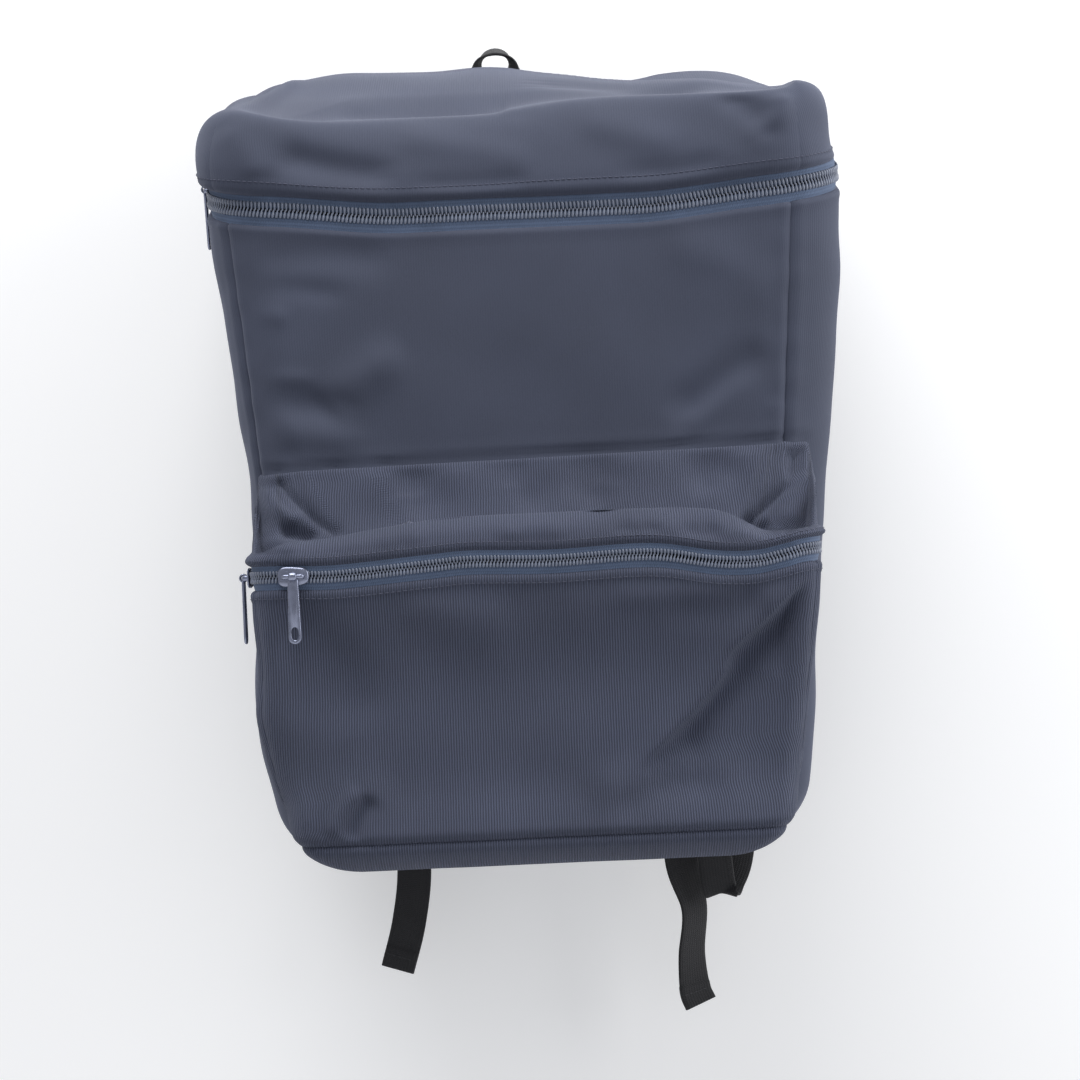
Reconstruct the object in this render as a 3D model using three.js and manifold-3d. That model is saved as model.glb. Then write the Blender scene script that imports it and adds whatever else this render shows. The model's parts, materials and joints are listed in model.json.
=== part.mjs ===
// A box-shaped school rucksack with a zipped lid and a zipped front pocket, hanging from its grab loop.
// Millimetres, +Z up. The front faces -Y and the wearer's side faces +Y.
// The model is laid out from the middle of the base at the back, and the finished group is moved so
// that its origin is the point where a hook carries the grab loop.
import * as THREE from "three";
import { mergeVertices } from "three/addons/utils/BufferGeometryUtils.js";
import Module from "manifold-3d";

const wasm = await Module();
wasm.setup();

const { degToRad, lerp, clamp, smoothstep } = THREE.MathUtils;

// Body and lid
const ZIP_BACK_HEIGHT = 392;
const LID_HEIGHT = 45;
const BASE_WIDTH = 282;
const TOP_WIDTH = 338;
const BODY_DEPTH = 130;
const CORNER_RADIUS = 36;
const BASE_RADIUS = 30;
const FOOT_HEIGHT = 4;
const PANEL_THICKNESS = 3;
const BACK_THICKNESS = 8;
const SEAM_GAP = 0.3;
const HEM_GAP = 0.6;
const SEAM_TURN = 65;
const LID_TILT = 17;
const LID_LEANS = { left: 15, right: 9 };
const LID_BLEND_START = 20;
const LID_BLEND_END = 115;
const LID_SHOULDER = 45;
const LID_DIP = 10;
const LID_DIP_START = 6;
const LID_DIP_RUN = 42;
const LID_FOLD = { from: [-10, 0], to: [120, -81], height: 3, width: 13 };

// Places across the lid, and how far its front and its back edge lie above a plain slope there
const LID_FRONT_EDGE = [
  [-170, -12],
  [-146, -1],
  [-95, -9.5],
  [-18, -9.5],
  [45, -3],
  [140, -1.5],
  [153, 1],
  [170, -12],
];
const LID_BACK_EDGE = [
  [-170, -22],
  [-136, 0],
  [-18, 1],
  [66, -7],
  [128, -6],
  [170, -24],
];

// Front pocket
const POCKET_DEPTH = 50;
const POCKET_MARGIN = 7;
const POCKET_RADIUS = 16;
const POCKET_SEAM_TURN = 30;
const POCKET_FOOT_RADIUS = 18;
const POCKET_SEAM_HEIGHT = 16;
const POCKET_ZIP_HEIGHT = 152;
const HOOD_SEAM_HEIGHT = 210;
const HOOD_SEAM_RISE = 2.7;
const HOOD_SAG = 4;
const HOOD_THICKNESS = 2.5;

// Places across the pocket, and the height of its hood's lip there
const HOOD_LIP = [
  [-149, 169],
  [-120, 170],
  [-60, 176],
  [60, 178],
  [98, 174],
  [120, 169],
  [149, 169],
];

// Zips
const LID_HINGE_DROP = 1;
const ZIP_TILT = 19.8;
const ZIP_SAG = 7;
const SAG_RUN = 90;
const CHAIN_GAP = 1.6;
const COIL_WIDTH = 3.2;
const COIL_THICKNESS = 2.4;
const TAPE_THICKNESS = 0.8;
const LID_TAPE = 11;
const POCKET_TAPE = 5;
const LOWER_TAPE = 8;

// Zip sliders and pulls
const SLIDER_LENGTH = 15.5;
const SLIDER_HEAD = 11;
const SLIDER_TAIL = 8.6;
const SLIDER_PLATE = 1;
const SLIDER_PLAY = 0.9;
const POST_THICKNESS = 1;
const POST_LENGTH = 3.5;
const BAIL_SPAN = 9;
const BAIL_WIDTH = 1.8;
const BAR_RADIUS = 0.8;
const EYE_PLAY = 0.45;
const EYE_WALL = 1;
const EYE_LENGTH = 4;
const PULL_LENGTH = 34;
const PULL_WIDTH = 6.6;
const PULL_THICKNESS = 1.6;
const PULL_HOLE_WIDTH = 3.4;
const PULL_HOLE_LENGTH = 6.5;
const CORNER_PLAY = 0.25;
const MAIN_SLIDER_REST = 13;
const SLIDER_SPACING = 34;

// Webbing and grab loop
const WEBBING_WIDTH = 20;
const WEBBING_THICKNESS = 1.8;
const YOKE_WIDTH = 190;
const YOKE_HEIGHT = 30;
const YOKE_DROP = 6;
const YOKE_THICKNESS = 2.5;
const LOOP_SHIFT = -9.5;
const LOOP_FOOT_X = 16.5;
const LOOP_FOOT_SEWN = 16;
const LOOP_CROWN_RADIUS = 9.5;
const LOOP_RISE = 16;

// Shoulder straps
const STRAP_DROP = 10;
const STRAP_TOP_X = 64;
const STRAP_TOP_WIDTH = 50;
const STRAP_WIDTH = 60;
const STRAP_END_WIDTH = 30;
const STRAP_THICKNESS = 11;
const STRAP_OUTWARD = 14;
const STRAP_BOW = 26;
const STRAP_END_HEIGHT = 66;
const STRAP_END_X = 82;

// Ladder locks, lower webbings and tails
const LOCK_DROP = 8;
const LOCK_WIDTH = 27;
const LOCK_HEIGHT = 20;
const LOCK_THICKNESS = 3;
const LOCK_BAR = 4;
const TAIL_LENGTHS = { left: 132, right: 155 };
const TAIL_SPLAY = 5;
const TAIL_LEAN = 6;
const HEM_LENGTH = 12;
const SLACKS = { left: 14, right: 45 };
const SLACK_BOW = 8;
const SLACK_TURN = 5;
const LOCK_ENTRY = 9;
const WING_LOW = 16;
const WING_HEIGHT = 54;
const WING_REACH = 34;
const WING_INSET = 7;
const WEBBING_INSET = 21;

// Stiffeners and the back pad
const BOARD_THICKNESS = 2;
const BOARD_MARGIN = 14;
const PAD_WIDTH = 64;
const PAD_LOW = 60;
const PAD_DROP = 11;
const PAD_THICKNESS = 5;

// Finishes
const CLOTH = { color: 0x4a4f63, roughness: 0.82, metalness: 0 };
const MESH_CLOTH = { color: 0x1b1c20, roughness: 0.95, metalness: 0 };
const WEBBING = { color: 0x17171a, roughness: 0.85, metalness: 0 };
const TAPE = { color: 0x39445a, roughness: 0.8, metalness: 0 };
const COIL = { color: 0x2f3a50, roughness: 0.45, metalness: 0 };
const GUNMETAL = { color: 0x5b6078, roughness: 0.3, metalness: 0.8 };
const PLASTIC = { color: 0x121214, roughness: 0.5, metalness: 0 };
const BOARD = { color: 0xd8d4c8, roughness: 0.8, metalness: 0 };

const SIDES = { left: -1, right: 1 };
const LID_SLOPE = Math.tan(degToRad(LID_TILT));
const ZIP_SLOPE = Math.tan(degToRad(ZIP_TILT));
const BODY_HEIGHT = ZIP_BACK_HEIGHT + LID_HEIGHT;
const LID_HINGE_HEIGHT = ZIP_BACK_HEIGHT - LID_HINGE_DROP;
const BEHIND_BACK = BACK_THICKNESS + SEAM_GAP;
const FRONT_DEPTH = BODY_DEPTH + POCKET_DEPTH;
const COIL_EDGE = CHAIN_GAP / 2 + COIL_WIDTH;
const FLAP_HINGE_DEPTH = BODY_DEPTH + SEAM_GAP + HOOD_THICKNESS / 2;
const YOKE_TOP = ZIP_BACK_HEIGHT - YOKE_DROP;
const STRAP_TOP = YOKE_TOP - STRAP_DROP;
const STRAP_INNER = YOKE_THICKNESS + 2 * SEAM_GAP;
const STRAP_MIDDLE = STRAP_INNER + STRAP_THICKNESS / 2;

const range = (count) => Array.from({ length: count }, (_, i) => i);
const spread = (from, to, steps) => range(steps + 1).map((i) => lerp(from, to, i / steps));
const point = (x, y, z) => new THREE.Vector3(x, y, z);

// Solids

// Closes a list of triangles into one solid that faces out.
function closedSolid(points, triangles) {
  const volume = triangles.reduce(
    (sum, [a, b, c]) => sum + points[a].dot(points[b].clone().cross(points[c])),
    0,
  );
  const facing = volume < 0 ? triangles.map(([a, b, c]) => [a, c, b]) : triangles;
  const geometry = new THREE.BufferGeometry().setFromPoints(points);
  geometry.setIndex(facing.flat());
  geometry.computeVertexNormals();
  return geometry;
}

const shifted = (grid, by) => grid.map((row) => row.map((p) => p.clone().add(by)));

// A sewn panel between two grids of points: its outer face and its inner face.
function panel(outer, inner) {
  const rows = outer.length;
  const columns = outer[0].length;
  const points = [...outer.flat(), ...inner.flat()];
  const front = (i, j) => i * columns + j;
  const back = (i, j) => rows * columns + i * columns + j;
  const triangles = [];
  const quad = (a, b, c, d) => triangles.push([a, b, c], [a, c, d]);
  for (let i = 0; i < rows - 1; i++) {
    for (let j = 0; j < columns - 1; j++) {
      quad(front(i, j), front(i, j + 1), front(i + 1, j + 1), front(i + 1, j));
      quad(back(i, j), back(i + 1, j), back(i + 1, j + 1), back(i, j + 1));
    }
    const end = columns - 1;
    quad(front(i, 0), front(i + 1, 0), back(i + 1, 0), back(i, 0));
    quad(front(i, end), back(i, end), back(i + 1, end), front(i + 1, end));
  }
  for (let j = 0; j < columns - 1; j++) {
    const top = rows - 1;
    quad(front(0, j), back(0, j), back(0, j + 1), front(0, j + 1));
    quad(front(top, j), front(top, j + 1), back(top, j + 1), back(top, j));
  }
  return closedSolid(points, triangles);
}

// Triangles that fill an outline and turn the same way as it does.
function capTriangles(outline) {
  const flat = outline.map(([u, v]) => new THREE.Vector2(u, v));
  const turn = Math.sign(THREE.ShapeUtils.area(flat));
  return THREE.ShapeUtils.triangulateShape(flat, []).map(([a, b, c]) => {
    const own = THREE.ShapeUtils.area([flat[a], flat[b], flat[c]]);
    return Math.sign(own) === turn ? [a, b, c] : [a, c, b];
  });
}

// A solid through a list of rings with the same number of corners, closed at both ends.
function loft(rings, outline) {
  const count = outline.length;
  const last = (rings.length - 1) * count;
  const triangles = [];
  for (let i = 0; i < rings.length - 1; i++) {
    for (let j = 0; j < count; j++) {
      const a = i * count + j;
      const b = i * count + ((j + 1) % count);
      triangles.push([a, b, b + count], [a, b + count, a + count]);
    }
  }
  for (const [a, b, c] of capTriangles(outline)) {
    triangles.push([a, c, b], [last + a, last + b, last + c]);
  }
  return closedSolid(rings.flat(), triangles);
}

// Carries an outline along stops, each with a centre and the directions of width and thickness.
function sweep(outline, stops) {
  const rings = stops.map(({ centre, across, through, width, thickness }) =>
    outline.map(([u, v]) =>
      centre.clone().addScaledVector(across, u * width).addScaledVector(through, v * thickness),
    ),
  );
  return loft(rings, outline);
}

const FLAT_OUTLINE = [
  [-0.5, -0.5],
  [0.5, -0.5],
  [0.5, 0.5],
  [-0.5, 0.5],
];
const PADDED_QUARTER = [
  [0.5, 0.2],
  [0.46, 0.42],
  [0.38, 0.5],
];
const PADDED_OUTLINE = [
  ...PADDED_QUARTER,
  ...PADDED_QUARTER.map(([u, v]) => [-u, v]).reverse(),
  ...PADDED_QUARTER.map(([u, v]) => [-u, -v]),
  ...PADDED_QUARTER.map(([u, v]) => [u, -v]).reverse(),
];

// Stops along a curve of webbing whose width stays as near as it can to a wanted direction.
function stopsAlong(centreAt, wantedAt, stations) {
  const step = 1e-3;
  return stations.map((t) => {
    const along = centreAt(Math.min(t + step, 1)).sub(centreAt(Math.max(t - step, 0))).normalize();
    const through = along.clone().cross(wantedAt(t)).normalize();
    const across = through.clone().cross(along).normalize();
    return { centre: centreAt(t), across, through, width: WEBBING_WIDTH, thickness: WEBBING_THICKNESS };
  });
}

function toManifold(geometry) {
  const bare = new THREE.BufferGeometry();
  bare.setAttribute("position", geometry.getAttribute("position"));
  bare.setIndex(geometry.getIndex());
  const merged = mergeVertices(bare, 1e-4);
  const vertProperties = merged.getAttribute("position").array;
  const triVerts = new Uint32Array(merged.getIndex().array);
  return new wasm.Manifold(new wasm.Mesh({ numProp: 3, vertProperties, triVerts }));
}

// One solid from several that overlap.
function join(...parts) {
  const mesh = parts.map(toManifold).reduce((sum, next) => sum.add(next)).getMesh();
  const geometry = new THREE.BufferGeometry();
  geometry.setAttribute("position", new THREE.BufferAttribute(mesh.vertProperties, 3));
  geometry.setIndex(new THREE.BufferAttribute(mesh.triVerts, 1));
  geometry.computeVertexNormals();
  return geometry;
}

const block = (width, depth, height, x, y, z) =>
  new THREE.BoxGeometry(width, depth, height).translate(x, y, z);

// A flat shape in X and Z, as thick as the distance between two depths.
function plate(shape, from, to, curveSegments = 5) {
  const settings = { depth: to - from, bevelEnabled: false, curveSegments };
  return new THREE.ExtrudeGeometry(shape, settings).rotateX(Math.PI / 2).translate(0, to, 0);
}

const shapeOf = (corners) => new THREE.Shape(corners.map(([x, z]) => new THREE.Vector2(x, z)));

// An upright outline with round ends, between two heights.
function roundEnded(Outline, width, low, high) {
  const half = width / 2;
  const outline = new Outline();
  outline.absarc(0, high - half, half, 0, Math.PI, false);
  outline.absarc(0, low + half, half, Math.PI, 2 * Math.PI, false);
  outline.closePath();
  return outline;
}

// Surfaces of the bag

// The value at a place of a soft curve through knots of place and value.
function curveAt(knots, place) {
  const past = knots.findIndex(([at]) => at > place);
  const next = past < 0 ? knots.length - 1 : Math.max(past, 1);
  const [[from, low], [to, high]] = [knots[next - 1], knots[next]];
  return lerp(low, high, smoothstep(place, from, to));
}

const tuck = (z, radius) => (z < radius ? radius - Math.sqrt(radius ** 2 - (radius - z) ** 2) : 0);

// Half the body's width at a height, drawn in where the sides round into the base.
function halfWidth(z) {
  const share = clamp(z / ZIP_BACK_HEIGHT, 0, 1);
  return lerp(BASE_WIDTH, TOP_WIDTH, share) / 2 - tuck(z, BASE_RADIUS);
}

// A point on a U-shaped section, open at the back. Station 0 is its left back end, 1 to 2 the left
// corner, 2 to 3 the front, 3 to 4 the right corner and 5 its right back end.
function section(station, { half, depth, radius, back }, inset) {
  const turned = radius - inset;
  const side = station > 2.5 ? 1 : -1;
  const t = station > 2.5 ? 5 - station : station;
  if (t <= 1) return [side * (half - inset), lerp(-back, radius - depth, t)];
  if (t < 2) {
    const turn = ((t - 1) * Math.PI) / 2;
    return [side * (half - radius + turned * Math.cos(turn)), radius - depth - turned * Math.sin(turn)];
  }
  return [(station - 2.5) * 2 * (half - radius), inset - depth];
}

const uprightSection = (back) => (station, z, inset = 0) =>
  section(station, { half: halfWidth(z), depth: BODY_DEPTH, radius: CORNER_RADIUS, back }, inset);

const bodySection = uprightSection(BEHIND_BACK);
const lidUpright = uprightSection(PANEL_THICKNESS + SEAM_GAP);

// How far forward the body reaches at a distance in from its side.
function cornerReach(fromSide) {
  const short = clamp(CORNER_RADIUS - fromSide, 0, CORNER_RADIUS);
  return BODY_DEPTH - CORNER_RADIUS + Math.sqrt(CORNER_RADIUS ** 2 - short ** 2);
}

function pocketSection(station, z, inset = 0) {
  const half = halfWidth(z) - POCKET_MARGIN;
  const depth = FRONT_DEPTH - tuck(z, POCKET_FOOT_RADIUS);
  const back = cornerReach(POCKET_MARGIN + PANEL_THICKNESS) + SEAM_GAP;
  return section(station, { half, depth, radius: POCKET_RADIUS, back }, inset);
}

// Height of the main zip's middle: it falls forward with the lid and sags along the front.
function mainZipLine(x, y) {
  const sagEdge = TOP_WIDTH / 2 - CORNER_RADIUS / 2;
  return ZIP_BACK_HEIGHT + y * ZIP_SLOPE - ZIP_SAG * smoothstep(sagEdge - Math.abs(x), 0, SAG_RUN);
}

const mainZip = (station) => mainZipLine(...bodySection(station, ZIP_BACK_HEIGHT));
const lidZip = (station) => mainZipLine(...lidUpright(station, ZIP_BACK_HEIGHT));
const pocketZip = () => POCKET_ZIP_HEIGHT;

// Height of the lid's upper edge: it falls forward, and its front and back each have their own line.
function lidEdge(x, y) {
  const forward = smoothstep(-y, LID_BLEND_START, LID_BLEND_END);
  const uneven = lerp(curveAt(LID_BACK_EDGE, x), curveAt(LID_FRONT_EDGE, x), forward);
  return BODY_HEIGHT + y * LID_SLOPE + uneven;
}

// Height of the lid's walls, just below its top panel.
const underLid = (x, y) => lidEdge(x, y) - PANEL_THICKNESS - 3 * HEM_GAP;

// How far across the lid a point is once its walls lean in, from the zip to the top panel.
function leaned(x, y, z) {
  const low = mainZipLine(x, y);
  const share = clamp((z - low) / (underLid(x, y) - low), 0, 1);
  const lean = (x < 0 ? LID_LEANS.left : LID_LEANS.right) * share ** 3;
  return x * (1 - (2 * lean) / TOP_WIDTH);
}

function lidSection(station, z, inset = 0) {
  const [x, y] = lidUpright(station, z, inset);
  return [leaned(x, y, z), y];
}

// How far the long fold in the lid's top lifts a point: a crest with a soft hollow on each side.
function lidFold(x, y) {
  const { from, to, height, width } = LID_FOLD;
  const along = new THREE.Vector2(to[0] - from[0], to[1] - from[1]).normalize();
  const across = ((x - from[0]) * along.y - (y - from[1]) * along.x) / width;
  const ends = smoothstep(-y, PANEL_THICKNESS, LID_DIP_RUN) * smoothstep(x, -LID_DIP_RUN, LID_DIP_RUN);
  return height * ends * Math.cos(across) * Math.exp(-((across / 2) ** 2));
}

// Height of the lid's top, which dips behind its front edge.
function lidTop(x, y) {
  const inward = Math.max(BODY_DEPTH + y - LID_DIP_START, 0) / LID_DIP_RUN;
  const dip = LID_DIP * Math.exp(-(inward ** 2)) * (1 - Math.exp(-3 * inward));
  const inside = smoothstep(TOP_WIDTH / 2 - Math.abs(x), LID_LEANS.left + PANEL_THICKNESS, LID_SHOULDER);
  return lidEdge(x, y) + inside * (lidFold(x, y) * smoothstep(inward, 0, 1) - dip);
}

// Height of the pocket's hood, from its seam on the body down to its lip.
function hoodTop(x, y) {
  const share = clamp((-y - FLAP_HINGE_DEPTH) / (FRONT_DEPTH - FLAP_HINGE_DEPTH), 0, 1);
  const end = halfWidth(HOOD_SEAM_HEIGHT) - POCKET_MARGIN;
  const seam = HOOD_SEAM_HEIGHT + (HOOD_SEAM_RISE * x) / end;
  const inside = smoothstep(end - Math.abs(x), PANEL_THICKNESS, CORNER_RADIUS);
  return lerp(seam, curveAt(HOOD_LIP, x), share) - HOOD_SAG * Math.sin(Math.PI * share) * inside;
}

// Points of a face that follows a section between two heights, at the given shares of its height.
function face(sectionAt, stations, low, high, shares, inset) {
  return shares.map((share) =>
    stations.map((s) => {
      const z = lerp(low(s), high(s), share);
      return point(...sectionAt(s, z, inset), z);
    }),
  );
}

// A sewn wall that follows a section.
function wall(sectionAt, stations, low, high, shares, thickness = PANEL_THICKNESS, inset = 0) {
  const faceAt = (depth) => face(sectionAt, stations, low, high, shares, depth);
  return panel(faceAt(inset), faceAt(inset + thickness));
}

// A narrow band of even thickness that runs beside a zip, between two distances from its middle.
function band(sectionAt, line, from, to, thickness) {
  const inset = (PANEL_THICKNESS - thickness) / 2;
  const edge = (distance) => (s) => line(s) + distance;
  return wall(sectionAt, ZIP_STATIONS, edge(from), edge(to), [0, 1], thickness, inset);
}

const mirrored = (stations) => stations.map((s) => 5 - s).reverse();
const seamStation = (turn) => 1 + turn / 90;
const sideStations = (turn, steps = 2) => [
  ...spread(0, 1, steps),
  ...spread(1, seamStation(turn), 4).slice(1),
];

function frontStations(turn, radius) {
  const gap = ((SEAM_GAP / radius) * 2) / Math.PI;
  const corner = spread(seamStation(turn) + gap, 2, 3);
  return [...corner, ...spread(2, 3, 12).slice(1, -1), ...mirrored(corner)];
}

const ZIP_CORNER = [0, ...spread(1, 2, 6)];
const ZIP_STATIONS = [...ZIP_CORNER, ...spread(2, 3, 12).slice(1, -1), ...mirrored(ZIP_CORNER)];
const EVEN_ROWS = spread(0, 1, 4);
const BODY_ROWS = [0, 0.012, 0.03, 0.06, 0.25, 0.5, 0.75, 1];
const POCKET_ROWS = [0, 0.04, 0.09, 0.16, 0.4, 0.7, 1];

// Groups that move

const bag = new THREE.Group();
const lid = new THREE.Group();
const pocketFlap = new THREE.Group();
bag.add(lid, pocketFlap);

function piece(name, geometry, finish, parent = bag) {
  const mesh = new THREE.Mesh(geometry, new THREE.MeshStandardMaterial(finish));
  mesh.name = name;
  parent.add(mesh);
  return mesh;
}

// Body

// A floor between two heights whose edge follows a section and whose back edge is straight.
function floorPlate(sectionAt, stations, backEdge) {
  const rings = [0, FOOT_HEIGHT / 2, FOOT_HEIGHT - SEAM_GAP].map((z) => {
    const edge = stations.map((s) => point(...sectionAt(s, z), z));
    const ends = [edge.at(0), edge.at(-1)].map((p) => point(p.x, backEdge, z));
    return [ends[0], ...edge.slice(1, -1), ends[1]];
  });
  return loft(rings, rings[0].map(({ x, y }) => [x, y]));
}

function makeBody() {
  const foot = () => FOOT_HEIGHT;
  const rim = (s) => mainZip(s) - COIL_EDGE - LOWER_TAPE - HEM_GAP;
  const upright = (stations) => wall(bodySection, stations, foot, rim, BODY_ROWS);
  const left = sideStations(SEAM_TURN);
  const front = frontStations(SEAM_TURN, CORNER_RADIUS);
  piece("side_panel_left", upright(left), CLOTH);
  piece("side_panel_right", upright(mirrored(left)), CLOTH);
  piece("front_panel", upright(front), CLOTH);
  piece("bottom_panel", floorPlate(bodySection, [...left, ...front, ...mirrored(left)], 0), CLOTH);

  const top = ZIP_BACK_HEIGHT - BACK_THICKNESS * ZIP_SLOPE;
  const heights = [...spread(FOOT_HEIGHT, BASE_RADIUS, 4), ...spread(BASE_RADIUS, top, 3).slice(1)];
  const backRows = heights.map((z) => spread(-1, 1, 4).map((u) => point(u * halfWidth(z), 0, z)));
  piece("back_panel", panel(backRows, shifted(backRows, point(0, -BACK_THICKNESS, 0))), CLOTH);
}

function makeStiffeners() {
  const low = FOOT_HEIGHT + BOARD_THICKNESS + SEAM_GAP;
  const high = LID_HINGE_HEIGHT - BOARD_MARGIN;
  const reach = halfWidth(BASE_RADIUS) - BOARD_MARGIN;
  const edge = [
    [reach - BASE_RADIUS, low],
    [reach, low + BASE_RADIUS],
    [halfWidth(high) - BOARD_MARGIN, high],
  ];
  const back = shapeOf([...edge, ...edge.map(([x, z]) => [-x, z]).reverse()]);
  piece("back_board", plate(back, -BEHIND_BACK - BOARD_THICKNESS, -BEHIND_BACK), BOARD);

  const width = 2 * (halfWidth(FOOT_HEIGHT) - BOARD_MARGIN);
  const depth = BODY_DEPTH - BEHIND_BACK - BOARD_MARGIN;
  const height = FOOT_HEIGHT + BOARD_THICKNESS / 2;
  const board = block(width, depth, BOARD_THICKNESS, 0, -BEHIND_BACK - depth / 2, height);
  piece("base_board", board, BOARD);
}

function makeLid() {
  const foot = (s) => lidZip(s) + COIL_EDGE + LID_TAPE + HEM_GAP;
  const top = (s) => underLid(...lidUpright(s, BODY_HEIGHT));
  const upright = (stations) => wall(lidSection, stations, foot, top, EVEN_ROWS);
  const left = sideStations(SEAM_TURN, 8);
  piece("lid_side_left", upright(left), CLOTH, lid);
  piece("lid_side_right", upright(mirrored(left)), CLOTH, lid);
  piece("lid_front", upright(frontStations(SEAM_TURN, CORNER_RADIUS)), CLOTH, lid);

  const columns = spread(-TOP_WIDTH / 2, TOP_WIDTH / 2, 20);
  const backTop = (x) => underLid(x, -PANEL_THICKNESS);
  const backRows = EVEN_ROWS.map((share) =>
    columns.map((x) => {
      const z = lerp(ZIP_BACK_HEIGHT + SEAM_GAP, backTop(x), share);
      return point(leaned(x, 0, z), 0, z);
    }),
  );
  const behind = shifted(backRows, point(0, -PANEL_THICKNESS, 0));
  piece("lid_back", panel(backRows, behind), CLOTH, lid);

  const straight = BODY_DEPTH - CORNER_RADIUS;
  const turned = spread(0, 90, 6).map((turn) => straight + CORNER_RADIUS * Math.sin(degToRad(turn)));
  const rows = [...spread(0, straight, 8), ...turned.slice(1)].map((depth) => {
    const past = Math.max(depth - straight, 0);
    const half = TOP_WIDTH / 2 - CORNER_RADIUS + Math.sqrt(CORNER_RADIUS ** 2 - past ** 2);
    return spread(-1, 1, 20).map((u) => {
      const x = u * half;
      return point(leaned(x, -depth, BODY_HEIGHT), -depth, lidTop(x, -depth));
    });
  });
  piece("lid_top", panel(rows, shifted(rows, point(0, 0, -PANEL_THICKNESS))), CLOTH, lid);
}

// Front pocket

function makePocket() {
  const foot = () => FOOT_HEIGHT;
  const seam = () => POCKET_SEAM_HEIGHT;
  const underSeam = () => POCKET_SEAM_HEIGHT - SEAM_GAP;
  const rim = () => POCKET_ZIP_HEIGHT - COIL_EDGE - LOWER_TAPE - SEAM_GAP;
  const left = sideStations(POCKET_SEAM_TURN);
  const front = frontStations(POCKET_SEAM_TURN, POCKET_RADIUS);
  const upright = (stations, low, high, shares) => wall(pocketSection, stations, low, high, shares);
  piece("pocket_side_left", upright(left, foot, rim, POCKET_ROWS), CLOTH);
  piece("pocket_side_right", upright(mirrored(left), foot, rim, POCKET_ROWS), CLOTH);
  piece("pocket_front_panel", upright(front, seam, rim, EVEN_ROWS), CLOTH);
  piece("pocket_gusset", upright(front, foot, underSeam, EVEN_ROWS), CLOTH);

  const limit = -BODY_DEPTH - SEAM_GAP;
  const clear = [...left, ...front, ...mirrored(left)].filter((s) => pocketSection(s, 0)[1] < limit);
  const floor = [0, ...clear, 5];
  piece("pocket_bottom", floorPlate(pocketSection, floor, limit), CLOTH);
}

// The hood over the pocket's zip turns about its seam on the body: a roof, a lip below it that goes
// round three sides, and a ledge between the two with the lip's round corners.
function makePocketFlap() {
  const foot = () => POCKET_ZIP_HEIGHT + COIL_EDGE + POCKET_TAPE + SEAM_GAP;
  const top = (s) => hoodTop(...pocketSection(s, HOOD_SEAM_HEIGHT)) - HOOD_THICKNESS - 2.5 * HEM_GAP;
  const corner = [...spread(0, 1, 3), ...spread(1, 2, 4).slice(1)];
  const around = [...corner, ...spread(2, 3, 12).slice(1, -1), ...mirrored(corner)];
  piece("pocket_lip", wall(pocketSection, around, foot, top, [0, 0.5, 1]), CLOTH, pocketFlap);

  const below = point(0, 0, -HOOD_THICKNESS);
  const straight = FRONT_DEPTH - POCKET_RADIUS;
  const widthAt = (depth) => halfWidth(hoodTop(0, -depth)) - POCKET_MARGIN;
  const columns = [...spread(-1, -0.75, 5), ...spread(-0.75, 0.75, 12).slice(1, -1), ...spread(0.75, 1, 5)];
  const roofRows = spread(0, 1, 5).map((share) =>
    columns.map((u) => {
      const seamX = u * widthAt(BODY_DEPTH);
      const seamDepth = cornerReach(halfWidth(HOOD_SEAM_HEIGHT) - Math.abs(seamX)) + 2 * SEAM_GAP;
      const depth = lerp(seamDepth, straight - SEAM_GAP, share);
      const x = u * widthAt(depth);
      return point(x, -depth, hoodTop(x, -depth));
    }),
  );
  piece("pocket_roof", panel(roofRows, shifted(roofRows, below)), CLOTH, pocketFlap);

  const turned = spread(0, 90, 4).map((turn) => straight + POCKET_RADIUS * Math.sin(degToRad(turn)));
  const ledgeRows = turned.map((depth) => {
    const round = POCKET_RADIUS - Math.sqrt(POCKET_RADIUS ** 2 - (depth - straight) ** 2);
    const half = widthAt(depth) - round;
    return columns.map((u) => point(u * half, -depth, hoodTop(u * half, -depth)));
  });
  piece("pocket_ledge", panel(ledgeRows, shifted(ledgeRows, below)), CLOTH, pocketFlap);
}

// Zips

function makeZip(name, lowerSection, lowerLine, upperSection, upperLine, upperTape, moving) {
  const near = CHAIN_GAP / 2;
  const taped = COIL_EDGE + SEAM_GAP;
  const lower = (from, to, thickness) => band(lowerSection, lowerLine, -to, -from, thickness);
  const upper = (from, to, thickness) => band(upperSection, upperLine, from, to, thickness);
  piece(`${name}_lower_coil`, lower(near, COIL_EDGE, COIL_THICKNESS), COIL);
  piece(`${name}_lower_tape`, lower(taped, COIL_EDGE + LOWER_TAPE, TAPE_THICKNESS), TAPE);
  piece(`${name}_upper_coil`, upper(near, COIL_EDGE, COIL_THICKNESS), COIL, moving);
  piece(`${name}_upper_tape`, upper(taped, COIL_EDGE + upperTape, TAPE_THICKNESS), TAPE, moving);
}

const PLATE_OFFSET = COIL_THICKNESS / 2 + SLIDER_PLAY;
const BAR_OFFSET = PLATE_OFFSET + SLIDER_PLATE + BAR_RADIUS + EYE_PLAY + EYE_WALL + SEAM_GAP;

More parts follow.
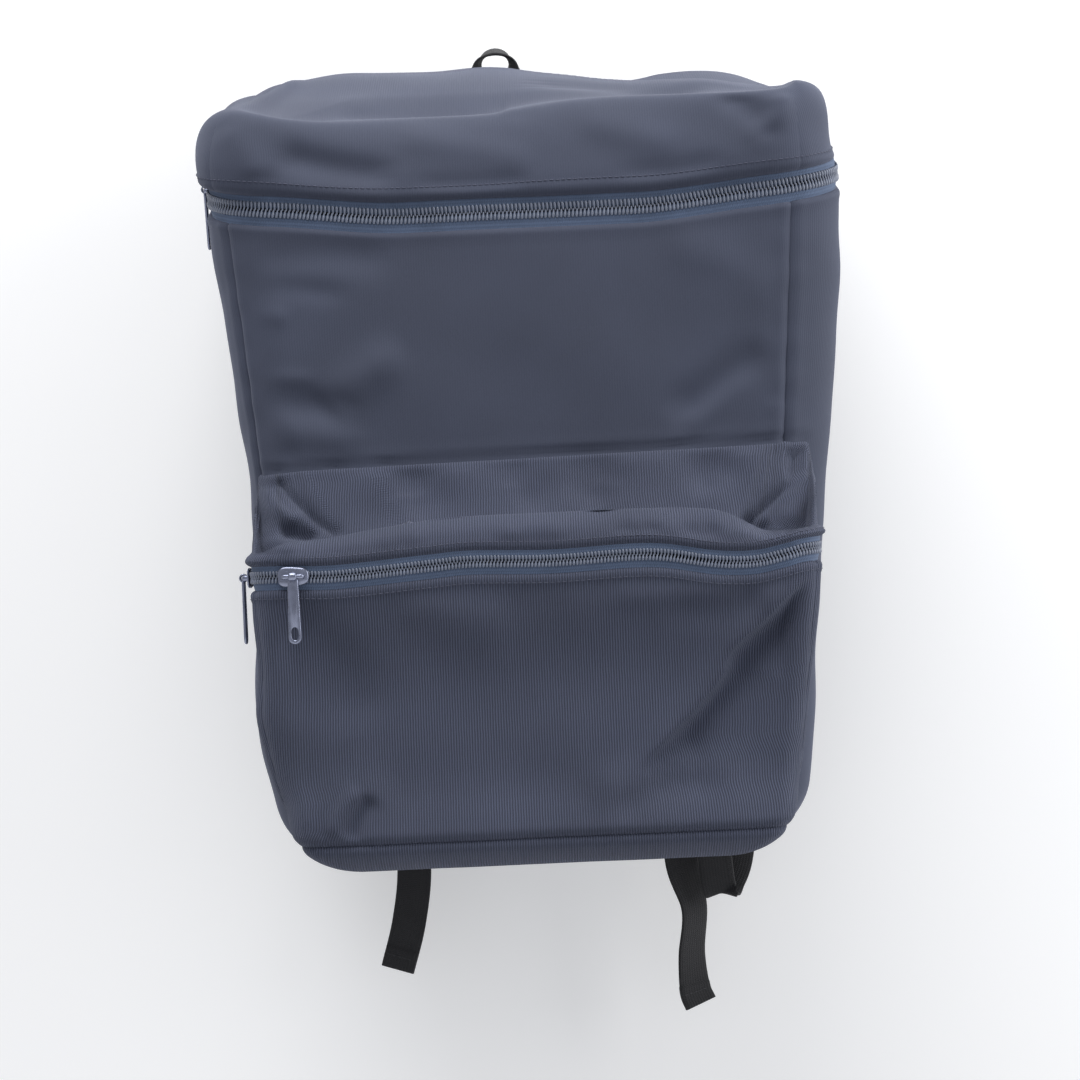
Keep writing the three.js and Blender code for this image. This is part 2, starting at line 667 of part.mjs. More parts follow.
// A slider in its own frame: X along the zip, -Y outward, Z up. Its wide head points along head * X.
function sliderSolid(head) {
  const [length, wide, narrow] = [SLIDER_LENGTH / 2, SLIDER_HEAD / 2, SLIDER_TAIL / 2];
  const edge = [
    [-length, narrow - 1],
    [1 - length, narrow],
    [length - 2, wide],
    [length, wide - 2],
  ];
  const corners = [...edge, ...edge.map(([x, z]) => [x, -z]).reverse()];
  const face = shapeOf(corners.map(([x, z]) => [head * x, z]));
  const outer = plate(face, -PLATE_OFFSET - SLIDER_PLATE, -PLATE_OFFSET);
  const inner = plate(face, PLATE_OFFSET, PLATE_OFFSET + SLIDER_PLATE);
  const postDepth = 2 * PLATE_OFFSET + SLIDER_PLATE;
  const post = block(POST_LENGTH, postDepth, POST_THICKNESS, head * (length - POST_LENGTH), 0, 0);
  const bar = new THREE.CylinderGeometry(BAR_RADIUS, BAR_RADIUS, BAIL_SPAN, 10);
  bar.rotateZ(Math.PI / 2).translate(0, -BAR_OFFSET, 0);
  const footDepth = BAR_OFFSET + BAR_RADIUS - PLATE_OFFSET - SLIDER_PLATE / 2;
  const footMiddle = -PLATE_OFFSET - SLIDER_PLATE / 2 - footDepth / 2;
  const feet = [-1, 1].map((end) =>
    block(BAIL_WIDTH, footDepth, BAIL_WIDTH, (end * BAIL_SPAN) / 2, footMiddle, 0),
  );
  return join(outer, inner, post, bar, ...feet);
}

// A pull in its own frame: the bar that it swings on is the X axis and it hangs along -Z.
function pullSolid() {
  const outside = BAR_RADIUS + EYE_PLAY + EYE_WALL;
  const ring = new THREE.Shape().absarc(0, 0, outside, 0, 2 * Math.PI, false);
  ring.holes.push(new THREE.Path().absarc(0, 0, outside - EYE_WALL, 0, 2 * Math.PI, true));
  const settings = { depth: EYE_LENGTH, bevelEnabled: false, curveSegments: 12 };
  const eye = new THREE.ExtrudeGeometry(ring, settings).rotateY(Math.PI / 2);
  eye.translate(-EYE_LENGTH / 2, 0, 0);
  const top = -outside + 0.8 * EYE_WALL;
  const [half, end] = [PULL_WIDTH / 2, -PULL_LENGTH];
  const face = new THREE.Shape();
  face.moveTo(half, top);
  face.lineTo(-half, top);
  face.lineTo(-half, end + half);
  face.absarc(0, end + half, half, Math.PI, 2 * Math.PI, false);
  face.closePath();
  const rim = (PULL_WIDTH - PULL_HOLE_WIDTH) / 2;
  face.holes.push(roundEnded(THREE.Path, PULL_HOLE_WIDTH, end + rim, end + rim + PULL_HOLE_LENGTH));
  return join(eye, plate(face, -PULL_THICKNESS / 2, PULL_THICKNESS / 2));
}

// A slider with its pull at a place on a zip. Along runs to the right as seen from outside.
function makeSlider(name, place, along, head) {
  const slope = along.clone().normalize();
  const inward = point(0, 0, 1).cross(slope).normalize();
  const up = slope.clone().cross(inward).normalize();
  const frame = new THREE.Group();
  frame.position.copy(place);
  frame.setRotationFromMatrix(new THREE.Matrix4().makeBasis(slope, inward, up));
  bag.add(frame);
  piece(`${name}_slider`, sliderSolid(head), GUNMETAL, frame);
  const swing = new THREE.Group();
  swing.position.set(0, -BAR_OFFSET, 0);
  frame.add(swing);
  piece(`${name}_pull`, pullSolid(), GUNMETAL, swing);
}

// The point in the middle of a wall's thickness where a zip passes its left side at a depth.
function onLeftSide(sectionAt, line, depth) {
  const [, backEnd] = sectionAt(0, ZIP_BACK_HEIGHT);
  const [, frontEnd] = sectionAt(1, ZIP_BACK_HEIGHT);
  const station = (-depth - backEnd) / (frontEnd - backEnd);
  const z = line(station);
  const [x, y] = sectionAt(station, z, PANEL_THICKNESS / 2);
  return point(x, y, z);
}

// The sliders rest at the left, the pocket's just short of the corner that its zip turns.
function makeSliders() {
  const short = SLIDER_LENGTH / 2 + CORNER_PLAY;
  const frontDepth = BODY_DEPTH - CORNER_RADIUS - short - MAIN_SLIDER_REST;
  const onMain = (depth) => onLeftSide(bodySection, mainZip, depth);
  const [fore, rear] = [onMain(frontDepth), onMain(frontDepth - SLIDER_SPACING)];
  makeSlider("main_front", fore, fore.clone().sub(rear), -1);
  makeSlider("main_rear", rear, fore.clone().sub(rear), 1);

  const straight = halfWidth(POCKET_ZIP_HEIGHT) - POCKET_MARGIN - POCKET_RADIUS;
  const front = point(short - straight, PANEL_THICKNESS / 2 - FRONT_DEPTH, POCKET_ZIP_HEIGHT);
  makeSlider("pocket_front", front, point(1, 0, 0), -1);
  const side = onLeftSide(pocketSection, pocketZip, FRONT_DEPTH - POCKET_RADIUS - short);
  makeSlider("pocket_side", side, point(0, -1, 0), 1);
}

// Straps on the wearer's side

function makeBackPad() {
  const height = YOKE_TOP - YOKE_HEIGHT - PAD_DROP - PAD_LOW;
  const stops = [0, 0.5, 1, height - 1, height - 0.5, height].map((rise) => {
    const round = Math.max(1 - rise, rise - height + 1, 0);
    const centre = point(0, SEAM_GAP + PAD_THICKNESS / 2, PAD_LOW + rise);
    const width = PAD_WIDTH - 2 * round;
    return { centre, across: point(1, 0, 0), through: point(0, 1, 0), width, thickness: PAD_THICKNESS - round };
  });
  piece("back_pad", sweep(PADDED_OUTLINE, stops), MESH_CLOTH);
}

function makeYoke() {
  const middle = SEAM_GAP + YOKE_THICKNESS / 2;
  const yoke = block(YOKE_WIDTH, YOKE_THICKNESS, YOKE_HEIGHT, 0, middle, YOKE_TOP - YOKE_HEIGHT / 2);
  piece("strap_yoke", yoke, CLOTH);
}

// The loop rises flat from its two feet and turns a quarter to its crown, where it lies on the hook.
const LOOP_FACE = YOKE_THICKNESS + 2 * SEAM_GAP + WEBBING_THICKNESS / 2;
const LOOP_FOOT = YOKE_TOP - LOOP_FOOT_SEWN;
const LOOP_ARC_HEIGHT = BODY_HEIGHT + LOOP_RISE - LOOP_CROWN_RADIUS;
const LOOP_LEG_LENGTH = LOOP_ARC_HEIGHT - LOOP_FOOT;
const LOOP_HALF_LENGTH = LOOP_LEG_LENGTH + (LOOP_CROWN_RADIUS * Math.PI) / 2;

const loopTurn = (share) => (Math.PI / 2) * smoothstep(share, 0.12, 1) ** 1.3;

function loopCentre(t) {
  const share = 1 - Math.abs(2 * t - 1);
  const side = t < 0.5 ? -1 : 1;
  const travelled = share * LOOP_HALF_LENGTH;
  const y = LOOP_FACE + (WEBBING_WIDTH / 2) * Math.sin(loopTurn(share));
  if (travelled < LOOP_LEG_LENGTH) {
    const narrowed = smoothstep(travelled / LOOP_LEG_LENGTH, 0.1, 1);
    const x = LOOP_SHIFT + side * lerp(LOOP_FOOT_X, LOOP_CROWN_RADIUS, narrowed);
    return point(x, y, LOOP_FOOT + travelled);
  }
  const turn = (travelled - LOOP_LEG_LENGTH) / LOOP_CROWN_RADIUS;
  const x = LOOP_SHIFT + side * LOOP_CROWN_RADIUS * Math.cos(turn);
  return point(x, y, LOOP_ARC_HEIGHT + LOOP_CROWN_RADIUS * Math.sin(turn));
}

function loopAcross(t) {
  const turn = loopTurn(1 - Math.abs(2 * t - 1));
  return point(t < 0.5 ? Math.cos(turn) : -Math.cos(turn), Math.sin(turn), 0);
}

function makeGrabLoop() {
  const leg = [0, 0.08, 0.16, ...spread(0.22, 0.4, 7), 0.42, 0.44, 0.46, 0.48];
  const stations = [...leg, 0.5, ...leg.map((t) => 1 - t).reverse()];
  piece("grab_loop", sweep(FLAT_OUTLINE, stopsAlong(loopCentre, loopAcross, stations)), WEBBING);
}

// One padded shoulder strap, which bows away from the back and narrows to its lock.
function makeShoulderStrap(name, side) {
  const stops = spread(0, 1, 14).map((t) => {
    const bow = Math.sin(Math.PI * t);
    const x = side * (lerp(STRAP_TOP_X, STRAP_END_X, t) + STRAP_OUTWARD * bow);
    const centre = point(x, STRAP_MIDDLE + STRAP_BOW * bow, lerp(STRAP_TOP, STRAP_END_HEIGHT, t));
    const full = lerp(STRAP_TOP_WIDTH, STRAP_WIDTH, smoothstep(t, 0, 0.3));
    const width = lerp(full, STRAP_END_WIDTH, smoothstep(t, 0.72, 1));
    return { centre, across: point(1, 0, 0), through: point(0, 1, 0), width, thickness: STRAP_THICKNESS };
  });
  piece(`shoulder_strap_${name}`, sweep(PADDED_OUTLINE, stops), CLOTH);
}

const LOCK_TOP = STRAP_END_HEIGHT - LOCK_DROP;
const LOCK_BAR_RADIUS = LOCK_THICKNESS / 2;
const LOCK_OPENING = WEBBING_WIDTH + 0.8;
const LOCK_FIRST_BAR = LOCK_BAR_RADIUS + WEBBING_THICKNESS + 3 * SEAM_GAP;
const LOCK_SLOT = LOCK_FIRST_BAR + LOCK_BAR;
const LOCK_SLOT_HEIGHT = LOCK_BAR;
const LOCK_SLOT_MIDDLE = LOCK_TOP - LOCK_SLOT - LOCK_SLOT_HEIGHT / 2;

// The webbing at the strap's end passes under the lock's round top bar and back up.
function makeStrapLoop(name, side) {
  const radius = LOCK_BAR_RADIUS + SEAM_GAP + WEBBING_THICKNESS / 2;
  const x = side * STRAP_END_X;
  const leg = STRAP_END_HEIGHT - SEAM_GAP - LOCK_TOP;
  const bend = spread(0, 180, 8).map((turn) => degToRad(turn));
  const outward = (turn) => point(0, -Math.cos(turn), -Math.sin(turn));
  const stopAt = (centre, through) => {
    return { centre, across: point(1, 0, 0), through, width: WEBBING_WIDTH, thickness: WEBBING_THICKNESS };
  };
  const middle = point(x, STRAP_MIDDLE, LOCK_TOP);
  const onBend = (turn) => middle.clone().addScaledVector(outward(turn), radius);
  const round = bend.map((turn) => stopAt(onBend(turn), outward(turn)));
  const ends = [0, Math.PI].map((turn) => stopAt(onBend(turn).add(point(0, 0, leg)), outward(turn)));
  piece(`strap_loop_${name}`, sweep(FLAT_OUTLINE, [ends[0], ...round, ends[1]]), WEBBING);
}

function makeLock(name, side) {
  const frame = new THREE.Group();
  frame.position.set(side * STRAP_END_X, STRAP_MIDDLE, LOCK_TOP);
  bag.add(frame);
  const bar = new THREE.CylinderGeometry(LOCK_BAR_RADIUS, LOCK_BAR_RADIUS, LOCK_WIDTH - 2, 16);
  bar.rotateZ(Math.PI / 2);
  const railWidth = (LOCK_WIDTH - LOCK_OPENING) / 2;
  const rails = [-1, 1].map((end) => {
    const x = (end * (LOCK_WIDTH - railWidth)) / 2;
    const height = LOCK_HEIGHT + LOCK_BAR_RADIUS;
    return block(railWidth, LOCK_THICKNESS, height, x, 0, LOCK_BAR_RADIUS - height / 2);
  });
  const bars = [LOCK_FIRST_BAR, LOCK_SLOT + LOCK_SLOT_HEIGHT].map((drop) =>
    block(LOCK_WIDTH - 2, LOCK_THICKNESS, LOCK_BAR, 0, 0, -drop - LOCK_BAR / 2),
  );
  piece(`ladder_lock_${name}`, join(bar, ...rails, ...bars), PLASTIC, frame);
}

// The free end of the webbing below a lock, with a folded hem.
function makeTail(name, side) {
  const frame = new THREE.Group();
  const face = STRAP_MIDDLE + LOCK_THICKNESS / 2 + SEAM_GAP;
  frame.position.set(side * STRAP_END_X, face, LOCK_SLOT_MIDDLE + WEBBING_THICKNESS / 2);
  bag.add(frame);
  const length = TAIL_LENGTHS[name];
  const hem = 1 - HEM_LENGTH / length;
  const stops = [...spread(0, hem, 8), hem + 0.5 / length, 1].map((t) => {
    const y = WEBBING_THICKNESS / 2 + TAIL_LEAN * t ** 2;
    const centre = point(side * TAIL_SPLAY * t, t > hem ? y + WEBBING_THICKNESS / 2 : y, -length * t);
    const thickness = t > hem ? 2 * WEBBING_THICKNESS : WEBBING_THICKNESS;
    return { centre, across: point(1, 0, 0), through: point(0, 1, 0), width: WEBBING_WIDTH, thickness };
  });
  piece(`strap_tail_${name}`, sweep(FLAT_OUTLINE, stops), WEBBING, frame);
}

// The cloth wing at a lower corner, and the webbing that hangs from it and returns to the lock.
function makeLowerWebbing(name, side) {
  const corner = halfWidth(WING_LOW + WING_HEIGHT / 2) - WING_INSET;
  const reach = corner - WING_REACH;
  const wing = shapeOf([
    [side * (corner - WING_INSET), WING_LOW],
    [side * corner, WING_LOW + WING_HEIGHT],
    [side * reach, WING_LOW + (2 * WING_HEIGHT) / 3],
    [side * reach, WING_LOW],
  ]);
  piece(`wing_${name}`, plate(wing, SEAM_GAP, SEAM_GAP + YOKE_THICKNESS), CLOTH);

  const low = -SLACKS[name];
  const sewn = corner - WEBBING_INSET;
  const outer = STRAP_INNER + WEBBING_THICKNESS / 2;
  const lockFace = STRAP_MIDDLE + LOCK_THICKNESS / 2;
  const route = new THREE.CatmullRomCurve3(
    [
      point(sewn, outer, WING_LOW + WING_HEIGHT / 2),
      point(sewn, outer + SLACK_BOW / 8, WING_LOW),
      point(sewn - 0.2 * SLACK_TURN, outer + 1.1 * SLACK_BOW, (WING_LOW + 2 * low) / 3),
      point(sewn - 0.6 * SLACK_TURN, outer + SLACK_BOW, low + SLACK_TURN),
      point(sewn - SLACK_TURN, outer + 0.55 * SLACK_BOW, low),
      point(sewn - 1.6 * SLACK_TURN, outer + 0.15 * SLACK_BOW, low + SLACK_TURN),
      point(lerp(sewn, STRAP_END_X, 0.6), outer + SLACK_BOW / 10, lerp(low, LOCK_SLOT_MIDDLE, 0.5)),
      point(STRAP_END_X + 0.2 * SLACK_TURN, outer + SLACK_BOW / 10, LOCK_SLOT_MIDDLE - LOCK_ENTRY),
      point(STRAP_END_X, outer + SLACK_BOW / 8, LOCK_SLOT_MIDDLE - LOCK_ENTRY / 3),
      point(STRAP_END_X, lerp(outer, lockFace, 0.5), LOCK_SLOT_MIDDLE - LOCK_ENTRY / 45),
      point(STRAP_END_X, lockFace, LOCK_SLOT_MIDDLE),
    ].map((p) => point(side * p.x, p.y, p.z)),
  );
  const centreAt = (t) => route.getPoint(t);
  const stops = stopsAlong(centreAt, () => point(1, 0, 0), spread(0, 1, 44));
  piece(`lower_webbing_${name}`, sweep(FLAT_OUTLINE, stops), WEBBING);
}

makeBody();
makeStiffeners();
makeLid();
makePocket();
makePocketFlap();
makeZip("main_zip", bodySection, mainZip, lidSection, lidZip, LID_TAPE, lid);
makeZip("pocket_zip", pocketSection, pocketZip, pocketSection, pocketZip, POCKET_TAPE, pocketFlap);
makeSliders();
makeBackPad();
makeYoke();
makeGrabLoop();
for (const [name, side] of Object.entries(SIDES)) {
  makeShoulderStrap(name, side);
  makeStrapLoop(name, side);
  makeLock(name, side);
  makeTail(name, side);
  makeLowerWebbing(name, side);
}

// The hook's contact is under the loop's crown.
const hook = loopCentre(0.5).sub(point(0, 0, WEBBING_THICKNESS / 2));
bag.position.copy(hook).negate();
const backpack = new THREE.Group();
backpack.add(bag);

export default backpack;
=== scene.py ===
import json
import logging
import math
from dataclasses import dataclass
from enum import Enum
from functools import lru_cache
from typing import Callable, Iterable, Sequence

import bpy
import numpy as np
from mathutils import Matrix
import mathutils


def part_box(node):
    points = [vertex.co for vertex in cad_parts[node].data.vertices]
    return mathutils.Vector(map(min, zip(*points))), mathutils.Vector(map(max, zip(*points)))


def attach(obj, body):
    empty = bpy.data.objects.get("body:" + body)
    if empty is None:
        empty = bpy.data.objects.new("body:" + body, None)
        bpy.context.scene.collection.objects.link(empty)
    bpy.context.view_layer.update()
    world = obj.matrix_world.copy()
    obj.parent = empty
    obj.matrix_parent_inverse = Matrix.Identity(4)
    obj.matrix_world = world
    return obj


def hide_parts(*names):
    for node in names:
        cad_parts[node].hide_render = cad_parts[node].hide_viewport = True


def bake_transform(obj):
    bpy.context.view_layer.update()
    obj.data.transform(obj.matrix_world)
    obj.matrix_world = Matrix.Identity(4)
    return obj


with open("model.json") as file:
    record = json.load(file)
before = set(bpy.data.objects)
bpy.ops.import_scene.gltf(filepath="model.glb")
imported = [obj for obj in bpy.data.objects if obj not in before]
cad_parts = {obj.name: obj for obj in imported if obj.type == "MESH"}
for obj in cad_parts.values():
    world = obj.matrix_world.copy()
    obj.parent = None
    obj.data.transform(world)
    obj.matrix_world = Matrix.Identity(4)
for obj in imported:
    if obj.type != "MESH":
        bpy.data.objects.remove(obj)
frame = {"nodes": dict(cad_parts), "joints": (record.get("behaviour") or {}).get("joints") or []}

Array = np.ndarray
Values = Array | float
Vector = Sequence[float] | Array
Object = bpy.types.Object
Socket = bpy.types.NodeSocket

log = logging.getLogger("rucksack")

# The bag is laid out in millimetres from the middle of its base at the back, with +Z up and its front
# facing -Y. ORIGIN is that point in the frame, in metres.
MM = 0.001
TURN = 2 * math.pi
BACK_LOW, BACK_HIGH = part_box("back_panel")
ORIGIN = np.array([(BACK_LOW.x + BACK_HIGH.x) / 2, BACK_HIGH.y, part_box("bottom_panel")[0].z])

# Places that the cloth's outer faces look away from: the middle of the body, of the lid and of the pocket.
INSIDE = np.array([0.0, -70.0, 200.0])
IN_LID = np.array([0.0, -60.0, 380.0])
IN_POCKET = np.array([0.0, -135.0, 120.0])

OUT_OF_BACK = (0.0, 1.0, 0.0)
SIDES = (("left", -1), ("right", 1))
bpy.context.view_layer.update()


def placed(points: Array) -> Array:
    """Points in the bag's millimetres, moved to the frame's metres."""
    return np.asarray(points, float) * MM + ORIGIN


def joined(*parts: Values) -> Array:
    """Values put together as the coordinates of points, each spread over the shape of the others."""
    return np.stack(np.broadcast_arrays(*parts), axis=-1)


# Curves, fields and stations


def rise(value: Array, low: float, high: float) -> Array:
    """A smooth step, 3t^2 - 2t^3, from 0 at low to 1 at high."""
    t = np.clip((np.asarray(value, float) - low) / (high - low), 0, 1)
    return t * t * (3 - 2 * t)


def bell(value: Array, centre: float, width: float) -> Array:
    """A soft hump, exp(-d^2), one width wide on each side of its centre."""
    return np.exp(-(((value - centre) / width) ** 2))


def through(points: Sequence[Sequence[float]], count: int = 64) -> Array:
    """A smooth curve through points.

    Each stretch is the Catmull-Rom cubic of its own two points and their neighbours.

    Args:
        points: the points, each with the same number of coordinates.
        count: how many points the curve gets.
    Returns:
        An array with one row for each point of the curve.
    """
    p = np.asarray(points, float)
    p = np.vstack([2 * p[0] - p[1], p, 2 * p[-1] - p[-2]])
    at = np.linspace(0, len(p) - 3 - 1e-9, count)
    i = at.astype(int)
    t = (at - i)[:, None]
    a, b, c, d = p[i], p[i + 1], p[i + 2], p[i + 3]
    cubic = (3 * b - a - 3 * c + d) * t**3 + (2 * a - 5 * b + 4 * c - d) * t**2
    return 0.5 * (cubic + (c - a) * t + 2 * b)


def amount(value: Array, knots: Sequence[tuple[float, float]]) -> Array:
    """The height over a value of the smooth curve through (value, height) knots."""
    curve = through(knots, 24 * len(knots))
    return np.interp(value, curve[:, 0], curve[:, 1])


def ripple(x: Array, z: Array, length: float, seed: int) -> Array:
    """Gentle unevenness between about -1 and 1.

    It is the sum of nine cosine waves in seeded directions, each 0.7 to 1.5 times the length long.

    Args:
        x: the first coordinate of the points.
        z: their second coordinate.
        length: the waves' middle length, in millimetres.
        seed: picks the directions and phases.
    Returns:
        One value for each point.
    """
    draw = np.random.default_rng(seed)
    circle = 6.28
    total = np.zeros(np.broadcast(x, z).shape)
    for turn, start, share in draw.random((9, 3)):
        step = TURN / (length * (0.7 + 0.8 * share))
        way = x * math.cos(turn * circle) + z * math.sin(turn * circle)
        total += np.cos(step * way + start * circle)
    return total / 4


class FoldKind(Enum):
    """The shape of a fold across its line."""

    RIDGE = "ridge"
    CREASE = "crease"
    STEP = "step"


@dataclass(frozen=True)
class Fold:
    """A fold in a panel, along a smooth line through a few places.

    Args:
        line: the places, in the panel's two coordinates, in millimetres.
        height: how far the cloth stands out, or in where it is negative.
        width: the fold's half width.
        kind: its shape. A step falls on the right of its line and comes back over its reach.
        reach: how far a step's hollow goes.
        fade: the share of the line over which each end fades in.
    """

    line: tuple[tuple[float, float], ...]
    height: float
    width: float
    kind: FoldKind = FoldKind.RIDGE
    reach: float = 30.0
    fade: float = 0.25

    def at(self, x: Array, z: Array) -> Array:
        """How far the fold moves each point outwards.

        The distance d to the line is signed by its side. A ridge is exp(-(d/w)^2), a crease
        exp(-|d|/w), and a step (1 - exp(-d/w)) exp(-d/reach) on its falling side.
        """
        line = through(self.line, 60)
        along = np.gradient(line, axis=0)
        along /= np.linalg.norm(along, axis=1, keepdims=True)
        flat = joined(np.ravel(x), np.ravel(z))
        near = np.argmin(((flat[:, None] - line[None]) ** 2).sum(2), axis=1)
        off = flat - line[near]
        side = off[:, 1] * along[near, 0] - off[:, 0] * along[near, 1]
        past = np.abs((off * along[near]).sum(1)) * ((near == 0) | (near == len(line) - 1))
        share = near / (len(line) - 1)
        ends = rise(share, 0, self.fade) * rise(1 - share, 0, self.fade)
        ends = ends * np.exp(-((past / self.width) ** 2))
        if self.kind is FoldKind.RIDGE:
            form = np.exp(-((side / self.width) ** 2))
        elif self.kind is FoldKind.CREASE:
            form = np.exp(-np.abs(side) / self.width)
        else:
            right = np.maximum(-side, 0)
            form = (1 - np.exp(-right / self.width)) * np.exp(-((right / self.reach) ** 2))
        return (self.height * ends * form).reshape(np.shape(x))


def folded(folds: Iterable[Fold], x: Array, z: Array) -> Array:
    """The sum of several folds at each point."""
    return sum((fold.at(x, z) for fold in folds), np.zeros(np.shape(x)))


def seam_dip(distance: Array, depth: float = 1.7) -> Array:
    """A sewn seam's groove with the low rolls of cloth beside it, over the distance from its line."""
    d = np.abs(distance)
    return -depth * np.exp(-d / 1.5) + 0.28 * depth * np.exp(-(((d - 4.5) / 2.8) ** 2))


def hem_roll(
    distance: Array,
    tuck: float = 2.4,
    height: float = 0.7,
    band: tuple[float, float] = (4.6, 6.4),
    row: float = 4.4,
) -> Array:
    """A doubled hem over the distance d from its folded edge.

    It stands out in a band, tucks in at the edge by tuck exp(-d/0.9), and dips 0.3 mm along its stitches.

    Args:
        distance: how far each point is from the edge.
        tuck: how far the edge itself turns in.
        height: how far the band stands out.
        band: where the band starts to fall and where it has gone.
        row: how far from the edge its stitches are.
    Returns:
        How far each point moves outwards.
    """
    d = np.maximum(distance, 0)
    return height * (1 - rise(d, *band)) - tuck * np.exp(-d / 0.9) - 0.3 * bell(d, row, 0.8)


def edged(low: float, high: float, step: float, fine: bool = True) -> Array:
    """Places between two ends.

    Args:
        low: the first place.
        high: the last place.
        step: about how far they are apart.
        fine: whether closer ones are added near both ends, for seams and hems.
    Returns:
        The places in order.
    """
    middle = np.linspace(low, high, max(2, int(round((high - low) / step)) + 1))
    if not fine:
        return middle
    close = np.array([0.35, 0.8, 1.4, 2.2, 3.2, 4.4, 5.8])
    close = close[close < (high - low) / 2]
    inner = middle[(middle > low + close[-1] + 0.6) & (middle < high - close[-1] - 0.6)]
    return np.concatenate([[low], low + close, inner, high - close[::-1], [high]])


def shares(length: float, step: float) -> Array:
    """Shares from 0 to 1 that are about a step apart on a length, and closer near both ends."""
    return edged(0.0, length, step) / length


def beside(s: Array, left: Values, right: Values) -> Array:
    """The left value at a section's left side and the right value at its right, with none in front."""
    return left * (1 - rise(s, 1.1, 2.0)) + right * rise(s, 3.0, 3.9)


def stations_round(low: float, count: int) -> Array:
    """Stations from low round the front to 5 - low, with that many at each side and 120 in front."""
    left, front, right = np.linspace(low, 2, count), np.linspace(2, 3, 120), np.linspace(3, 5 - low, count)
    return np.concatenate([left, front[1:], right[1:]])


def stations_between(
    low: float, high: float, step: float, width: float, depth: float, radius: float
) -> Array:
    """Stations between two places, about a step apart on the cloth.

    Args:
        low: the first station.
        high: the last station.
        step: their distance in millimetres.
        width: the section's width.
        depth: its depth.
        radius: the radius of its corners.
    Returns:
        The stations.
    """
    knots = np.arange(6.0)
    side, arc = depth - radius, radius * math.pi / 2
    length = np.concatenate([[0], np.cumsum([side, arc, width - 2 * radius, arc, side])])
    return np.interp(edged(*np.interp([low, high], knots, length), step), length, knots)


# Meshes


def grid_faces(rows: int, columns: int, wrapped: bool = False) -> Array:
    """The quads of a grid of points, whose columns close into a ring if it is wrapped."""
    i = np.arange(rows - 1)[:, None] * columns
    j = np.arange(columns if wrapped else columns - 1)[None]
    k = (j + 1) % columns
    return joined(i + j, i + k, i + columns + k, i + columns + j).reshape(-1, 4)


def mesh_object(
    name: str, points: Array, faces: Sequence[Sequence[int]], uv: Array | None = None
) -> Object:
    """A new smooth-shaded mesh object.

    Args:
        name: the piece's name.
        points: its points in the bag's millimetres.
        faces: the corners of each face.
        uv: where each point is on the flat cloth, in metres.
    Returns:
        The object, linked to the scene, with its place in its mesh.
    """
    mesh = bpy.data.meshes.new(name)
    mesh.from_pydata(placed(points), [], [list(f) for f in faces])
    if uv is not None:
        corners = np.empty(len(mesh.loops), np.int32)
        mesh.loops.foreach_get("vertex_index", corners)
        layer = mesh.uv_layers.new(name="UVMap")
        layer.data.foreach_set("uv", np.asarray(uv, np.float32)[corners].ravel())
    mesh.polygons.foreach_set("use_smooth", np.ones(len(mesh.polygons), bool))
    mesh.validate()
    made = bpy.data.objects.new(name, mesh)
    bpy.context.scene.collection.objects.link(made)
    return made


def cloth_uv(grid: Array) -> Array:
    """Where each point of a grid is on its flat cloth, in metres.

    The first value is the length along the point's row from the middle column, and the second is the
    length along its column from the first row.
    """
    across = np.cumsum(np.linalg.norm(np.diff(grid, axis=1, prepend=grid[:, :1]), axis=2), axis=1)
    down = np.cumsum(np.linalg.norm(np.diff(grid, axis=0, prepend=grid[:1]), axis=2), axis=0)
    across -= across[:, grid.shape[1] // 2][:, None]
    return joined(across, down).reshape(-1, 2) * MM


def sheet_object(
    name: str, grid: Array, thickness: float, inside: Array = INSIDE, flip: bool = False
) -> Object:
    """A panel of cloth over a grid of points, with its thickness on the side that faces inwards.

    Args:
        name: the piece's name.
        grid: rows and columns of points on the cloth's outer face.
        thickness: the cloth's thickness in millimetres.
        inside: a point that the outer face looks away from.
        flip: turns the faces round where inside is no help.
    Returns:
        The object, with its thickness as a live modifier.
    """
    rows, columns = grid.shape[:2]
    faces = grid_faces(rows, columns)
    flat = grid.reshape(-1, 3)
    a, b, c = (flat[faces[:, k]] for k in range(3))
    facing = np.einsum("ij,ij->", np.cross(b - a, c - a), a - inside)
    if (facing < 0) != flip:
        faces = faces[:, ::-1]
    made = mesh_object(name, flat, faces, cloth_uv(grid))
    mesh = made.data
    edge_of = np.empty(len(mesh.loops), np.int32)
    mesh.loops.foreach_get("edge_index", edge_of)
    mesh.edges.foreach_set("use_edge_sharp", np.bincount(edge_of, minlength=len(mesh.edges)) == 1)
    solid = made.modifiers.new("thickness", "SOLIDIFY")
    solid.thickness = thickness * MM
    solid.offset = -1
    solid.use_even_offset = False
    return made


def unit(vectors: Array) -> Array:
    """Vectors of length one."""
    return vectors / np.maximum(np.linalg.norm(vectors, axis=-1, keepdims=True), 1e-9)


@dataclass
class Shell:
    """A closed surface: its points in millimetres, its faces, and each point's place on the flat cloth."""

    points: Array
    faces: list
    uv: Array

    def moved(self, place: Array, axes: Array) -> "Shell":
        """The shell with its own axes turned to the given rows and its origin at a place."""
        return Shell(place + self.points @ axes, self.faces, self.uv)


def faced(points: Array, faces: list) -> list:
    """The faces, all turned round if they bound a negative volume."""
    fans = [(face[0], face[k], face[k + 1]) for face in faces for k in range(1, len(face) - 1)]
    a, b, c = (points[np.array(fans)[:, k]] for k in range(3))
    if np.einsum("ij,ij->", a, np.cross(b, c)) > 0:
        return faces
    return [face[::-1] for face in faces]


